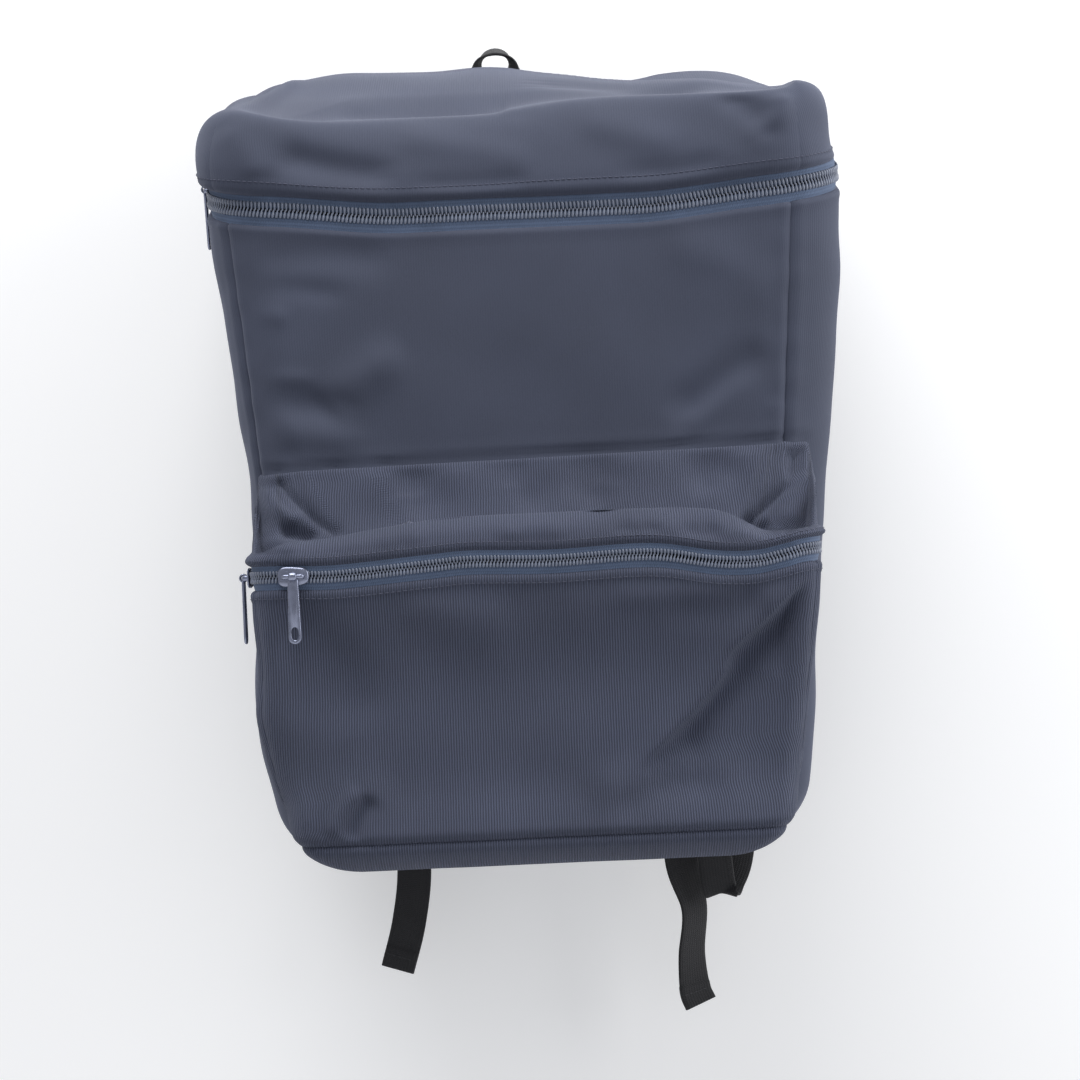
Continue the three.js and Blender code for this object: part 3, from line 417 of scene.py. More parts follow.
def loft(rings: Array, closed: bool = False) -> Shell:
    """A closed solid through rings of points.

    Args:
        rings: an array of rings, points and coordinates.
        closed: whether the last ring meets the first again. A fan of faces covers each end otherwise.
    Returns:
        The solid, with its faces turned outwards.
    """
    rows, columns = rings.shape[:2]
    flat = rings.reshape(-1, 3)
    around = np.linalg.norm(np.diff(rings, axis=1, prepend=rings[:, :1]), axis=2)
    along = np.linalg.norm(np.diff(rings, axis=0, prepend=rings[:1]), axis=2).mean(1)
    across = np.cumsum(around, axis=1)
    uv = joined(across, np.cumsum(along)[:, None]) * MM
    uv = uv.reshape(-1, 2)
    if closed:
        index = np.arange(rows * columns).reshape(rows, columns)
        nexts = np.roll(index, -1, axis=0)
        quads = joined(index, np.roll(index, -1, 1), np.roll(nexts, -1, 1), nexts)
        return Shell(flat, faced(flat, quads.reshape(-1, 4).tolist()), uv)
    quads = grid_faces(rows, columns, wrapped=True)
    flat = np.vstack([flat, rings[0].mean(0), rings[-1].mean(0)])
    uv = np.vstack([uv, uv[:columns].mean(0), uv[-columns:].mean(0)])
    j = np.arange(columns)
    k = (j + 1) % columns
    last = (rows - 1) * columns
    first_cap = joined(rows * columns, k, j)
    last_cap = joined(rows * columns + 1, last + j, last + k)
    return Shell(flat, faced(flat, [*quads.tolist(), *first_cap.tolist(), *last_cap.tolist()]), uv)


def shell_object(name: str, *shells: Shell) -> Object:
    """One object that holds several shells."""
    starts = np.cumsum([0] + [len(shell.points) for shell in shells])
    faces = [[i + start for i in face] for shell, start in zip(shells, starts) for face in shell.faces]
    points = np.vstack([shell.points for shell in shells])
    return mesh_object(name, points, faces, np.vstack([shell.uv for shell in shells]))


def slab(outline: Array, levels: Sequence[tuple[float, float]]) -> Shell:
    """A plate with shaped edges, which lies in its own X and Z and has its thickness along Y.

    Args:
        outline: the corners of its outline, in X and Z, in order.
        levels: how far in from the outline and how far along Y each of its rings is.
    Returns:
        The closed solid.
    """
    along = np.roll(outline, -1, axis=0) - np.roll(outline, 1, axis=0)
    normal = unit(joined(along[:, 1], -along[:, 0]))
    normal *= np.sign(np.sum(normal * (outline - outline.mean(0))))
    rings = []
    for inset, height in levels:
        ring = outline - normal * inset
        rings.append(joined(ring[:, 0], height, ring[:, 1]))
    made = loft(np.array(rings))
    made.uv = made.points[:, [0, 2]] * MM
    return made


def flat_section(width: float, thickness: float, count: int = 9) -> Array:
    """A strip's cross-section: straight faces and half-round edges, as offsets across and through."""
    turn = np.linspace(-math.pi / 2, math.pi / 2, 5)
    radius = thickness / 2
    edge = joined(width / 2 - radius + radius * np.cos(turn), radius * np.sin(turn))
    inner = np.linspace(width / 2 - radius, radius - width / 2, count)[1:-1]
    top = joined(inner, radius)
    half = np.vstack([edge, top])
    return np.vstack([half, -half])


def padded_section(count: int = 28, power: float = 2.6) -> Array:
    """A pad's cross-section of width and thickness 1: a rounded box, |2u|^p + |2v|^p = 1."""
    turn = np.arange(count) * TURN / count
    c, s = np.cos(turn), np.sin(turn)
    size = (np.abs(c) ** power + np.abs(s) ** power) ** (-1 / power)
    return joined(c * size, s * size) / 2


def ribbon(
    line: Array, across: Vector, closed: bool = False
) -> tuple[Array, Array]:
    """The directions across a ribbon and out of its face at each point of its line."""
    ring = np.roll(line, -1, axis=0) - np.roll(line, 1, axis=0)
    along = unit(ring if closed else np.gradient(line, axis=0))
    out = unit(np.cross(along, np.broadcast_to(across, line.shape)))
    return np.cross(out, along), out


def swept(
    section: Array,
    line: Array,
    across: Vector,
    sizes: Vector = (1.0, 1.0),
    closed: bool = False,
) -> Shell:
    """A section carried along a line.

    Args:
        section: offsets across and through.
        line: the middle of each ring.
        across: the direction that the width points in, more or less, for all rings or each.
        sizes: the factors of width and thickness, for all rings or each.
        closed: whether the line closes into a loop.
    Returns:
        The closed solid.
    """
    wide, out = ribbon(line, across, closed)
    scaled = section[None] * np.broadcast_to(sizes, (len(line), 2))[:, None]
    rings = line[:, None] + scaled[..., :1] * wide[:, None] + scaled[..., 1:] * out[:, None]
    return loft(rings, closed)


def repeated(
    name: str, shape: tuple[Array, Array], places: Array, axes: Array
) -> Object:
    """One object that holds many copies of a small shape.

    Args:
        name: the piece's name.
        shape: the shape's points and quads, in its own axes.
        places: where each copy's origin goes.
        axes: each copy's three axes, as rows.
    Returns:
        The object.
    """
    points, quads = shape
    copies = places[:, None] + np.einsum("vk,nkc->nvc", points, axes)
    faces = quads[None] + (np.arange(len(places)) * len(points))[:, None, None]
    return mesh_object(name, copies.reshape(-1, 3), faces.reshape(-1, quads.shape[1]))


def capsule(
    length: float, width: float, height: float, rings: Sequence[float], sides: int = 6
) -> tuple[Array, Array]:
    """A small bar along its first axis, open at both ends.

    Args:
        length: its whole length.
        width: its size along the second axis.
        height: its size along the third axis.
        rings: the share of full size at each of its evenly spaced rings.
        sides: how many corners a ring has.
    Returns:
        Its points and quads.
    """
    turn = np.arange(sides) * TURN / sides
    along = np.linspace(-0.5, 0.5, len(rings)) * length
    size = np.asarray(rings)[:, None]
    y = size * width / 2 * np.cos(turn)
    z = size * height / 2 * np.sin(turn)
    points = joined(along[:, None], y, z).reshape(-1, 3)
    return points, grid_faces(len(rings), sides, wrapped=True)


def axes_along(line: Array, outward: Array) -> Array:
    """For each point of a line its direction, the direction up beside it, and outward, as rows."""
    along = unit(np.gradient(line, axis=0))
    out = unit(outward - along * (outward * along).sum(1, keepdims=True))
    return np.stack([along, np.cross(along, out), out], axis=1)


def evenly(line: Array, step: float, *others: Array, start: float = 0.0) -> list[Array]:
    """A line again with its points a step apart, and other values of its points with it."""
    length = np.concatenate([[0], np.cumsum(np.linalg.norm(np.diff(line, axis=0), axis=1))])
    at = np.arange(start, length[-1], step)
    return [
        np.stack([np.interp(at, length, values[:, k]) for k in range(values.shape[1])], axis=1)
        for values in (line, *others)
    ]


# Shader expressions


class Signal:
    """A number that varies over a surface. Arithmetic on it adds Math nodes."""

    def __init__(self, shader: "Shader", socket: Socket) -> None:
        """Keeps the output socket that gives the number."""
        self.shader = shader
        self.socket = socket

    def _math(self, operation: str, *values: "Signal | float") -> "Signal":
        """A Math node on the values, as a new signal."""
        return self.shader.value("ShaderNodeMath", {"operation": operation}, dict(enumerate(values)))

    def __add__(self, other: "Signal | float") -> "Signal":
        """The sum."""
        return self._math("ADD", self, other)

    __radd__ = __add__

    def __sub__(self, other: "Signal | float") -> "Signal":
        """The difference."""
        return self._math("SUBTRACT", self, other)

    def __rsub__(self, other: float) -> "Signal":
        """The difference the other way round."""
        return self._math("SUBTRACT", other, self)

    def __mul__(self, other: "Signal | float") -> "Signal":
        """The product."""
        return self._math("MULTIPLY", self, other)

    __rmul__ = __mul__

    def wave(self) -> "Signal":
        """The sine."""
        return self._math("SINE", self)

    def clipped(self, low: float = 0.0, high: float = 1.0) -> "Signal":
        """Kept between two limits."""
        return self._math("MAXIMUM", self._math("MINIMUM", self, high), low)

    def step(self, low: float, high: float) -> "Signal":
        """A smooth step from 0 at low to 1 at high."""
        settings = {"interpolation_type": "SMOOTHSTEP"}
        return self.shader.value("ShaderNodeMapRange", settings, {0: self, 1: low, 2: high})


class Shader:
    """The node tree of one material."""

    def __init__(self, name: str) -> None:
        """Makes the material with its Principled shader."""
        self.material = bpy.data.materials.new(name)
        self.material.use_nodes = True
        self.tree = self.material.node_tree
        self.tree.nodes.clear()
        self.surface = self.node("ShaderNodeBsdfPrincipled")
        self.output = self.node("ShaderNodeOutputMaterial")
        self.link(self.surface.outputs["BSDF"], self.output.inputs["Surface"])

    def link(self, source: Socket, target: Socket) -> None:
        """Joins two sockets."""
        self.tree.links.new(source, target)

    def feed(self, socket: Socket, value: object) -> None:
        """Gives an input socket a signal, another socket or a plain value."""
        if isinstance(value, Signal):
            self.link(value.socket, socket)
        elif isinstance(value, Socket):
            self.link(value, socket)
        else:
            socket.default_value = value

    def node(
        self, kind: str, settings: dict | None = None, inputs: dict | None = None
    ) -> bpy.types.Node:
        """A new node.

        Args:
            kind: the node's type.
            settings: its properties, set before its sockets.
            inputs: values, signals or sockets for its input sockets, by name or place.
        Returns:
            The node.
        """
        made = self.tree.nodes.new(kind)
        for key, value in (settings or {}).items():
            setattr(made, key, value)
        for key, value in (inputs or {}).items():
            self.feed(made.inputs[key], value)
        return made

    def value(self, kind: str, settings: dict | None = None, inputs: dict | None = None) -> Signal:
        """A new node's first output as a signal."""
        return Signal(self, self.node(kind, settings, inputs).outputs[0])

    def cloth_place(self) -> tuple[Signal, Signal]:
        """The place on the flat cloth, across and along, in metres."""
        uv = self.node("ShaderNodeTexCoord").outputs["UV"]
        split = self.node("ShaderNodeSeparateXYZ", inputs={0: uv})
        return Signal(self, split.outputs[0]), Signal(self, split.outputs[1])

    def solid_place(self) -> Socket:
        """The place in the object's own space, in metres."""
        return self.node("ShaderNodeTexCoord").outputs["Object"]

    def noise(self, place: Socket, scale: float, detail: float = 2.0) -> Signal:
        """Cloudy noise between 0 and 1, with that many clouds in a metre."""
        return self.value("ShaderNodeTexNoise", inputs={"Vector": place, "Scale": scale, "Detail": detail})

    def mixed(self, share: Signal, first: Sequence[float], second: Sequence[float]) -> Socket:
        """A colour that goes from the first to the second with a share."""
        inputs = {0: share.clipped(), 6: (*first, 1.0), 7: (*second, 1.0)}
        return self.node("ShaderNodeMix", {"data_type": "RGBA"}, inputs).outputs[2]

    def tinted(
        self, share: Signal, colour: Sequence[float], low: float, high: float
    ) -> Socket:
        """A colour that goes from low times to high times its middle value with a share."""
        return self.mixed(share, [c * low for c in colour], [c * high for c in colour])

    def relief(self, height: Signal, distance: float) -> Socket:
        """A normal bent by a height between 0 and 1 that stands for a distance in metres."""
        inputs = {"Height": height, "Distance": distance, "Strength": 1.0}
        return self.node("ShaderNodeBump", inputs=inputs).outputs["Normal"]

    def set(self, **inputs: object) -> None:
        """Sets the Principled shader's sockets. An underscore stands for a space."""
        for key, value in inputs.items():
            self.feed(self.surface.inputs[key.replace("_", " ")], value)


# Finishes


@dataclass(frozen=True)
class Twill:
    """Navy-grey corded twill with a soft sheen.

    Args:
        name: the material's name.
        colour: the cloth's linear colour.
        cord: the distance between cords, in metres.
        relief: the cords' height, in metres.
        contrast: how much darker the cloth is between the cords.
        spread: how far its colour goes below and above the middle, as a share.
        warp: the distance between threads across the cords, in metres.
        weft: the distance between threads along them, in metres.
    """

    name: str = "navy_twill"
    colour: tuple[float, float, float] = (0.054, 0.062, 0.094)
    cord: float = 0.00135
    relief: float = 0.0002
    contrast: float = 0.04
    spread: float = 0.25
    warp: float = 0.00115
    weft: float = 0.00082

    def material(self) -> bpy.types.Material:
        """Builds the material."""
        s = Shader(self.name)
        u, v = s.cloth_place()
        place = s.solid_place()
        wander = s.noise(place, 190, 3) - 0.5
        cords = (u * (TURN / self.cord) + wander * 2.6).wave()
        threads = (v * (TURN / self.weft) + u * (TURN / self.warp)).wave()
        cloud = s.noise(place, 14, 3) - 0.5
        speck = s.noise(place, 1500, 1) - 0.5
        share = 0.5 + cords * (self.contrast + cloud * self.contrast * 1.5)
        share = share + threads * 0.08 + cloud * 0.9 + speck * 0.4
        height = cords * 0.36 + threads * 0.16 + speck * 0.5
        s.set(
            Base_Color=s.tinted(share, self.colour, 1 - self.spread, 1 + self.spread),
            Roughness=0.8 + cloud * 0.12,
            Specular_IOR_Level=0.28,
            Sheen_Weight=0.18,
            Sheen_Roughness=0.5,
            Sheen_Tint=(0.75, 0.8, 1.0, 1.0),
            Normal=s.relief(height, self.relief),
        )
        return s.material


@dataclass(frozen=True)
class Woven:
    """Woven tape or webbing with ribs across it and finer cords along it.

    Args:
        name: the material's name.
        colour: its linear colour.
        rib: the distance between ribs along the tape, in metres.
        warp: the distance between the lengthwise cords, in metres.
        relief: the ribs' height, in metres.
        sheen: the soft light at grazing angles.
    """

    name: str
    colour: tuple[float, float, float]
    rib: float = 0.0011
    warp: float = 0.0017
    relief: float = 0.00022
    sheen: float = 0.2

    def material(self) -> bpy.types.Material:
        """Builds the material."""
        s = Shader(self.name)
        u, v = s.cloth_place()
        place = s.solid_place()
        warp = (u * (TURN / self.warp)).wave()
        ribs = (v * (TURN / self.rib) + warp * 1.3).wave()
        cloud = s.noise(place, 60, 3) - 0.5
        fuzz = s.noise(place, 1800, 1) - 0.5
        share = 0.45 + ribs * 0.2 + warp * 0.12 + cloud * 0.5 + fuzz * 0.5
        s.set(
            Base_Color=s.tinted(share, self.colour, 0.62, 1.45),
            Roughness=0.8 + fuzz * 0.15,
            Specular_IOR_Level=0.25,
            Sheen_Weight=self.sheen,
            Sheen_Roughness=0.5,
            Normal=s.relief(ribs * 0.35 + warp * 0.3 + fuzz * 0.4, self.relief),
        )
        return s.material


@dataclass(frozen=True)
class SpacerMesh:
    """Black spacer mesh with rows of small open cells."""

    name: str = "spacer_mesh"
    colour: tuple[float, float, float] = (0.030, 0.031, 0.036)
    cell: float = 0.0032

    def material(self) -> bpy.types.Material:
        """Builds the material."""
        s = Shader(self.name)
        u, v = s.cloth_place()
        turn = TURN / self.cell
        cells = ((u * turn).wave() * (v * turn).wave()).step(-0.45, 0.35)
        fuzz = s.noise(s.solid_place(), 1500, 1) - 0.5
        s.set(
            Base_Color=s.tinted(cells * 0.8 + fuzz * 0.5, self.colour, 0.3, 1.5),
            Roughness=0.88 + fuzz * 0.1,
            Sheen_Weight=0.15,
            Normal=s.relief(cells + fuzz * 0.3, 0.0005),
        )
        return s.material


@dataclass(frozen=True)
class Moulded:
    """Moulded plastic or nylon, with a fine spark-eroded grain.

    Args:
        name: the material's name.
        colour: its linear colour.
        roughness: the middle of its roughness.
        grain: the grain's height, in metres.
        coat: the share of a clear gloss.
    """

    name: str
    colour: tuple[float, float, float]
    roughness: float = 0.45
    grain: float = 0.00003
    coat: float = 0.0

    def material(self) -> bpy.types.Material:
        """Builds the material."""
        s = Shader(self.name)
        place = s.solid_place()
        cloud = s.noise(place, 90, 3) - 0.5
        grain = s.noise(place, 2600, 1)
        s.set(
            Base_Color=s.tinted(0.5 + cloud * 0.9, self.colour, 0.75, 1.3),
            Roughness=self.roughness + cloud * 0.2 + grain * 0.08,
            Coat_Weight=self.coat,
            Normal=s.relief(grain, self.grain),
        )
        return s.material


@dataclass(frozen=True)
class Lacquered:
    """Cast zinc under glossy gunmetal lacquer, worn a little at places."""

    name: str = "gunmetal"
    colour: tuple[float, float, float] = (0.165, 0.180, 0.245)

    def material(self) -> bpy.types.Material:
        """Builds the material."""
        s = Shader(self.name)
        place = s.solid_place()
        cloud = s.noise(place, 160, 4)
        wear = s.noise(place, 900, 3).step(0.62, 0.78)
        s.set(
            Base_Color=s.tinted(cloud * 0.8 + wear * 0.5, self.colour, 0.75, 1.9),
            Metallic=0.82,
            Roughness=0.2 + cloud * 0.16 + wear * 0.15,
            Coat_Weight=0.35,
            Coat_Roughness=0.12,
            Normal=s.relief(cloud, 0.00006),
        )
        return s.material


CLOTH = Twill(relief=0.00008)
RIBBED = Twill("navy_rib", (0.058, 0.067, 0.105), relief=0.0006, contrast=0.7, spread=0.45)
WEBBING = Woven("black_webbing", (0.021, 0.021, 0.023), sheen=0.08)
TAPE = Woven("zip_tape", (0.112, 0.152, 0.240), 0.0009, 0.0019, 0.00012, 0.15)
BINDING = Woven("black_binding", (0.030, 0.030, 0.034), 0.0008, 0.0013, 0.0001)
COIL = Moulded("zip_coil", (0.150, 0.172, 0.232), roughness=0.34, coat=0.2)
THREAD = Moulded("navy_thread", (0.070, 0.077, 0.118), roughness=0.6)
BLACK_THREAD = Moulded("black_thread", (0.030, 0.030, 0.034), roughness=0.65)
METAL = Lacquered()
PLASTIC = Moulded("black_acetal", (0.018, 0.018, 0.020), roughness=0.42)
BOARD = Moulded("grey_board", (0.10, 0.10, 0.105), roughness=0.6, grain=0.00008)
MESH = SpacerMesh()

Finish = Twill | Woven | SpacerMesh | Moulded | Lacquered


@lru_cache(maxsize=None)
def material_of(finish: Finish) -> bpy.types.Material:
    """The one material of a finish."""
    return finish.material()


def dress(piece: Object, finish: Finish) -> Object:
    """Gives a piece its finish."""
    piece.data.materials.clear()
    piece.data.materials.append(material_of(finish))
    log.info("%s dressed", piece.name)
    return piece


def finished(
    piece: Object, body: str, finish: Finish, slot: str, *nodes: str
) -> Object:
    """Puts a piece on its body, hides the CAD nodes that it replaces and dresses it.

    Args:
        piece: the piece.
        body: the body that it rides on.
        finish: its finish.
        slot: not used.
        nodes: the CAD nodes that it replaces, none for trim that is only seen.
    Returns:
        The piece.
    """
    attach(piece, body)
    if nodes:
        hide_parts(*nodes)
    return dress(piece, finish)


# The bag's form


@dataclass(frozen=True)
class BagForm:
    """The surfaces that the bag's cloth follows, in the bag's millimetres.

    A section is shaped like a U that is open at the back. Station 0 is its left back end, 1 to 2 the left
    corner, 2 to 3 the front, 3 to 4 the right corner and 5 its right back end.
    """

    zip_height: float = 392.0
    base_width: float = 282.0
    top_width: float = 338.0
    depth: float = 130.0
    corner: float = 36.0
    base_round: float = 30.0
    lid_height: float = 45.0
    lid_tilt: float = 17.0
    zip_tilt: float = 19.8
    zip_sag: float = 7.0
    sag_run: float = 90.0
    pocket_depth: float = 50.0
    pocket_margin: float = 7.0
    pocket_corner: float = 16.0
    pocket_foot: float = 18.0
    pocket_zip: float = 152.0
    left_slack: tuple = (
        (0, -1), (40, 3), (82, 6.5), (130, 0), (182, -3.8), (215, -4), (250, -2.4), (290, -0.6),
        (320, 1.4), (340, 1.6), (365, 0.4), (410, 0.4),
    )
    right_slack: tuple = (
        (0, 0), (40, 2), (82, 3), (130, 4), (182, 5.6), (215, 6.7), (250, 8.4), (300, 9.8), (335, 8.6),
        (355, 7.4), (375, 4.5), (410, 1.0),
    )
    front_folds: tuple = (
        Fold(((-60, 270), (-92, 250), (-108, 238)), 4.0, 11),
        Fold(((-152, 289), (-138, 290), (-120, 286)), 2.6, 4.5),
        Fold(((-152, 300), (-126, 303), (-85, 297)), -2.2, 6),
        Fold(((-152, 318), (-110, 320), (-60, 316)), -3.0, 9),
        Fold(((-146, 246), (-125, 243), (-84, 240)), -4.6, 8),
        Fold(((-143, 256), (-130, 256), (-108, 254)), 1.8, 4),
        Fold(((-143, 232), (-118, 226), (-80, 220)), 2.8, 8),
        Fold(((-142, 216), (-132, 215), (-118, 216)), -2.6, 6),
        Fold(((132, 262), (104, 246), (72, 224)), -4.0, 9),
        Fold(((120, 250), (100, 232), (80, 218)), 1.6, 6),
        Fold(((138, 282), (110, 306), (70, 322)), 2.0, 12),
        Fold(((144, 231), (134, 230), (124, 229)), 1.8, 3.5),
    )

    @property
    def front(self) -> float:
        """How far the pocket reaches forwards."""
        return self.depth + self.pocket_depth

    def top_plan(self, s: Array) -> tuple[Array, Array]:
        """Points of the section at the zip's width, and the directions outwards."""
        return self.plan(s, self.top_width / 2, self.depth, self.corner, 0.0)

    def zip_at(self, s: Array) -> Array:
        """Height of the main zip's middle at stations."""
        flat, _ = self.top_plan(s)
        return self.zip_line(flat[..., 0], flat[..., 1])

    def half_width(self, z: Array) -> Array:
        """Half the width at a height: a straight taper, drawn in by a quarter circle at the base."""
        share = np.clip(z / self.zip_height, 0, 1)
        low = np.clip(self.base_round - z, 0, self.base_round)
        tuck = self.base_round - np.sqrt(self.base_round**2 - low**2)
        return (self.base_width + (self.top_width - self.base_width) * share) / 2 - tuck

    @staticmethod
    def plan(
        s: Array, half: Array, depth: Array, radius: float, back: float
    ) -> tuple[Array, Array]:
        """Points of a U-shaped section and the directions outwards from them, in X and Y.

        Args:
            s: the stations.
            half: half the section's width.
            depth: how far forwards its front is.
            radius: the radius of its corners.
            back: how far forwards its two ends are.
        Returns:
            The points and the directions, each with X and Y last.
        """
        s, half, depth = np.broadcast_arrays(np.asarray(s, float), half, depth)
        side = np.where(s > 2.5, 1.0, -1.0)
        t = np.where(s > 2.5, 5 - s, s)
        turn = np.clip(t - 1, 0, 1) * math.pi / 2
        x = side * (half - radius + radius * np.cos(turn))
        y = radius - depth - radius * np.sin(turn)
        y = np.where(t < 1, -back + (radius - depth + back) * t, y)
        x = np.where(t > 2, (s - 2.5) * 2 * (half - radius), x)
        out = joined(side * np.cos(turn), -np.sin(turn))
        return joined(x, y), out

    def zip_line(self, x: Array, y: Array) -> Array:
        """Height of the main zip's middle, which falls forwards and sags along the front."""
        edge = self.top_width / 2 - self.corner / 2
        fall = y * math.tan(math.radians(self.zip_tilt))
        return self.zip_height + fall - self.zip_sag * rise(edge - np.abs(x), 0, self.sag_run)

    def body_slack(self, s: Array, x: Array, z: Array) -> Array:
        """How far the body's cloth stands out from the plain section.

        Args:
            s: the stations.
            x: the places across at those stations.
            z: the heights.
        Returns:
            The slack of the sides, and in front a swell by half a sine wave with its folds.
        """
        slack = beside(s, amount(z, self.left_slack), amount(z, self.right_slack))
        front = rise(s, 1.6, 2.3) * (1 - rise(s, 2.7, 3.4))
        full = 1.4 * np.sin(math.pi * np.clip((z - 200) / 150, 0, 1)) * (1 - (x / 165) ** 2)
        full = full + folded(self.front_folds, x, z) + 0.5 * ripple(x, z, 70, seed=3)
        sides = 0.9 * ripple(x * 0.3 + s * 40, z, 60, seed=5) * rise(np.abs(s - 2.5), 0.9, 1.4)
        return slack + front * full + sides * rise(350 - z, 0, 40)

    def body(self, s: Array, z: Array, out: Values = 0.0) -> Array:
        """Points of the body's wall at stations and heights, moved outwards by out."""
        flat, away = self.plan(s, self.half_width(z), self.depth, self.corner, 0.0)
        moved = self.body_slack(s, flat[..., 0], z) + out
        xy = flat + away * moved[..., None]
        return joined(xy[..., 0], xy[..., 1], z)


FORM = BagForm()


def on_wall(
    wall: Callable[..., Array], s: Array, z: Array, out: Values
) -> tuple[Array, Array]:
    """Points of a wall along a line of stations and heights, and the directions outwards there."""
    line = wall(s, z, out)
    return line, unit(wall(s, z, out + 1.0) - line)


def stitches(
    name: str,
    line: Array,
    outward: Vector,
    body: str,
    finish: Finish = THREAD,
    slot: str = "body_cloth",
) -> Object:
    """A row of sewn stitches along a line on the cloth, 2.5 mm long and 3.1 mm apart.

    Args:
        name: the piece's name.
        line: points along the row.
        outward: the direction out of the cloth, for all of those points or each.
        body: the body that the row rides on.
        finish: the thread's finish.
        slot: passed on to finished, which does not use it.
    Returns:
        The piece.
    """
    places, out = evenly(line, 3.1, np.broadcast_to(outward, line.shape), start=1.5)
    shape = capsule(2.5, 0.5, 0.5, (0.3, 0.9, 1.0, 0.9, 0.3))
    made = repeated(name, shape, places, axes_along(places, out))
    return finished(made, body, finish, slot)


@dataclass
class Body:
    """The bag's body: its two sides, its front, its back and its floor."""

    form: BagForm = FORM
    left_seam: float = 1.52
    right_seam: float = 3.27
    rim_drop: float = 8.6
    floor_turn: float = 3.5
    hood_seam: float = 210.6
    hood_slope: float = 0.0182
    panel: float = 2.2
    back_panel: float = 5.0
    step: float = 2.4

    def rim(self, s: Array) -> Array:
        """Height of the wall's hem, a little below the main zip."""
        return self.form.zip_at(s) - self.rim_drop

    def relief(self, s: Array, z: Array) -> Array:
        """The seams' grooves with their puckers, the hood's seam, the hem's roll and the turned-in foot."""
        form = self.form
        station = form.corner * math.pi / 2
        left, right = (s - self.left_seam) * station, (s - self.right_seam) * station
        near = np.minimum(np.abs(left), np.abs(right))
        out = seam_dip(left) + seam_dip(right)
        out = out + 0.45 * np.exp(-near / 7) * ripple(near, z, 17, seed=8)
        flat, _ = form.plan(s, form.half_width(z), form.depth, form.corner, 0.0)
        above = z - self.hood_seam - self.hood_slope * flat[..., 0]
        hooded = rise(s, 1.46, 1.52) * (1 - rise(s, 3.48, 3.54))
        out = out + hooded * (0.3 * bell(above, 4.0, 2.6) - 1.8 * np.exp(-np.abs(above) / 0.8))
        out = out + hem_roll(self.rim(s) - z, tuck=2.6)
        under = np.clip(self.floor_turn - z, 0, None)
        return out - under**2 * 0.35

    def wall(self, s: Array, z: Array, out: float = 0.0) -> Array:
        """The body's wall with its seams and hem."""
        return self.form.body(s, z, self.relief(s, z) + out)

    def stations(self, low: float, high: float) -> Array:
        """Stations between two seams, about a step apart on the cloth."""
        form = self.form
        return stations_between(low, high, self.step, form.base_width, form.depth, form.corner)

    def make_walls(self) -> None:
        """Makes the two side panels and the front panel."""
        parts = (
            ("side_cloth_left", "side_panel_left", 0.0, self.left_seam),
            ("front_cloth", "front_panel", self.left_seam, self.right_seam),
            ("side_cloth_right", "side_panel_right", self.right_seam, 5.0),
        )
        for name, node, low, high in parts:
            s = self.stations(low, high)[None]
            z = shares(345.0, self.step + 0.3)[:, None] * self.rim(s)
            piece = sheet_object(name, self.wall(s, z), self.panel)
            finished(piece, "bag", CLOTH, "body_cloth", node)

    def make_back(self) -> None:
        """Makes the back panel, padded in two soft fields beside a middle channel."""
        form = self.form
        z = edged(0.5, form.zip_height - 1, 4.0)[:, None]
        u = edged(-1.0, 1.0, 0.03, fine=False)[None]
        half = form.half_width(z)
        slack = np.where(u < 0, amount(z, form.left_slack), amount(z, form.right_slack))
        x = u * (half + slack + 0.4)
        edge = np.minimum(half * (1 - np.abs(u)), np.minimum(z, form.zip_height - z))
        puff = 2.2 * rise(edge, 2, 22) * (1 - 0.8 * bell(x, 0, 34)) - 2.0 * np.exp(-edge / 1.6)
        y = puff + 0.5 * ripple(x, z, 55, seed=12) * rise(edge, 4, 20) - 0.6 * bell(edge, 9, 1.2)
        grid = joined(x, y - 1.6, z)
        piece = sheet_object("back_cloth", grid, self.back_panel)
        finished(piece, "bag", CLOTH, "body_cloth", "back_panel")

    def make_floor(self) -> None:
        """Makes the floor, whose edge follows the section and turns up into the walls."""
        form = self.form
        d = edged(0.0, form.depth - 2, 4.0, fine=False)[:, None]
        u = edged(-1.0, 1.0, 0.04, fine=False)[None]
        past = np.clip(d - (form.depth - form.corner), 0, form.corner)
        half = form.half_width(3.0) - form.corner + np.sqrt(form.corner**2 - past**2)
        z = 0.4 + 1.2 * np.abs(u) ** 8 + 0.3 * ripple(u * half, d, 50, seed=6)
        grid = joined(u * half, -d, z)
        piece = sheet_object("floor_cloth", grid, self.panel)
        finished(piece, "bag", CLOTH, "body_cloth", "bottom_panel")

    def build(self) -> None:
        """Makes and dresses the body."""
        self.make_walls()
        self.make_back()
        self.make_floor()
        for node in ("back_board", "base_board"):
            dress(frame["nodes"][node], BOARD)


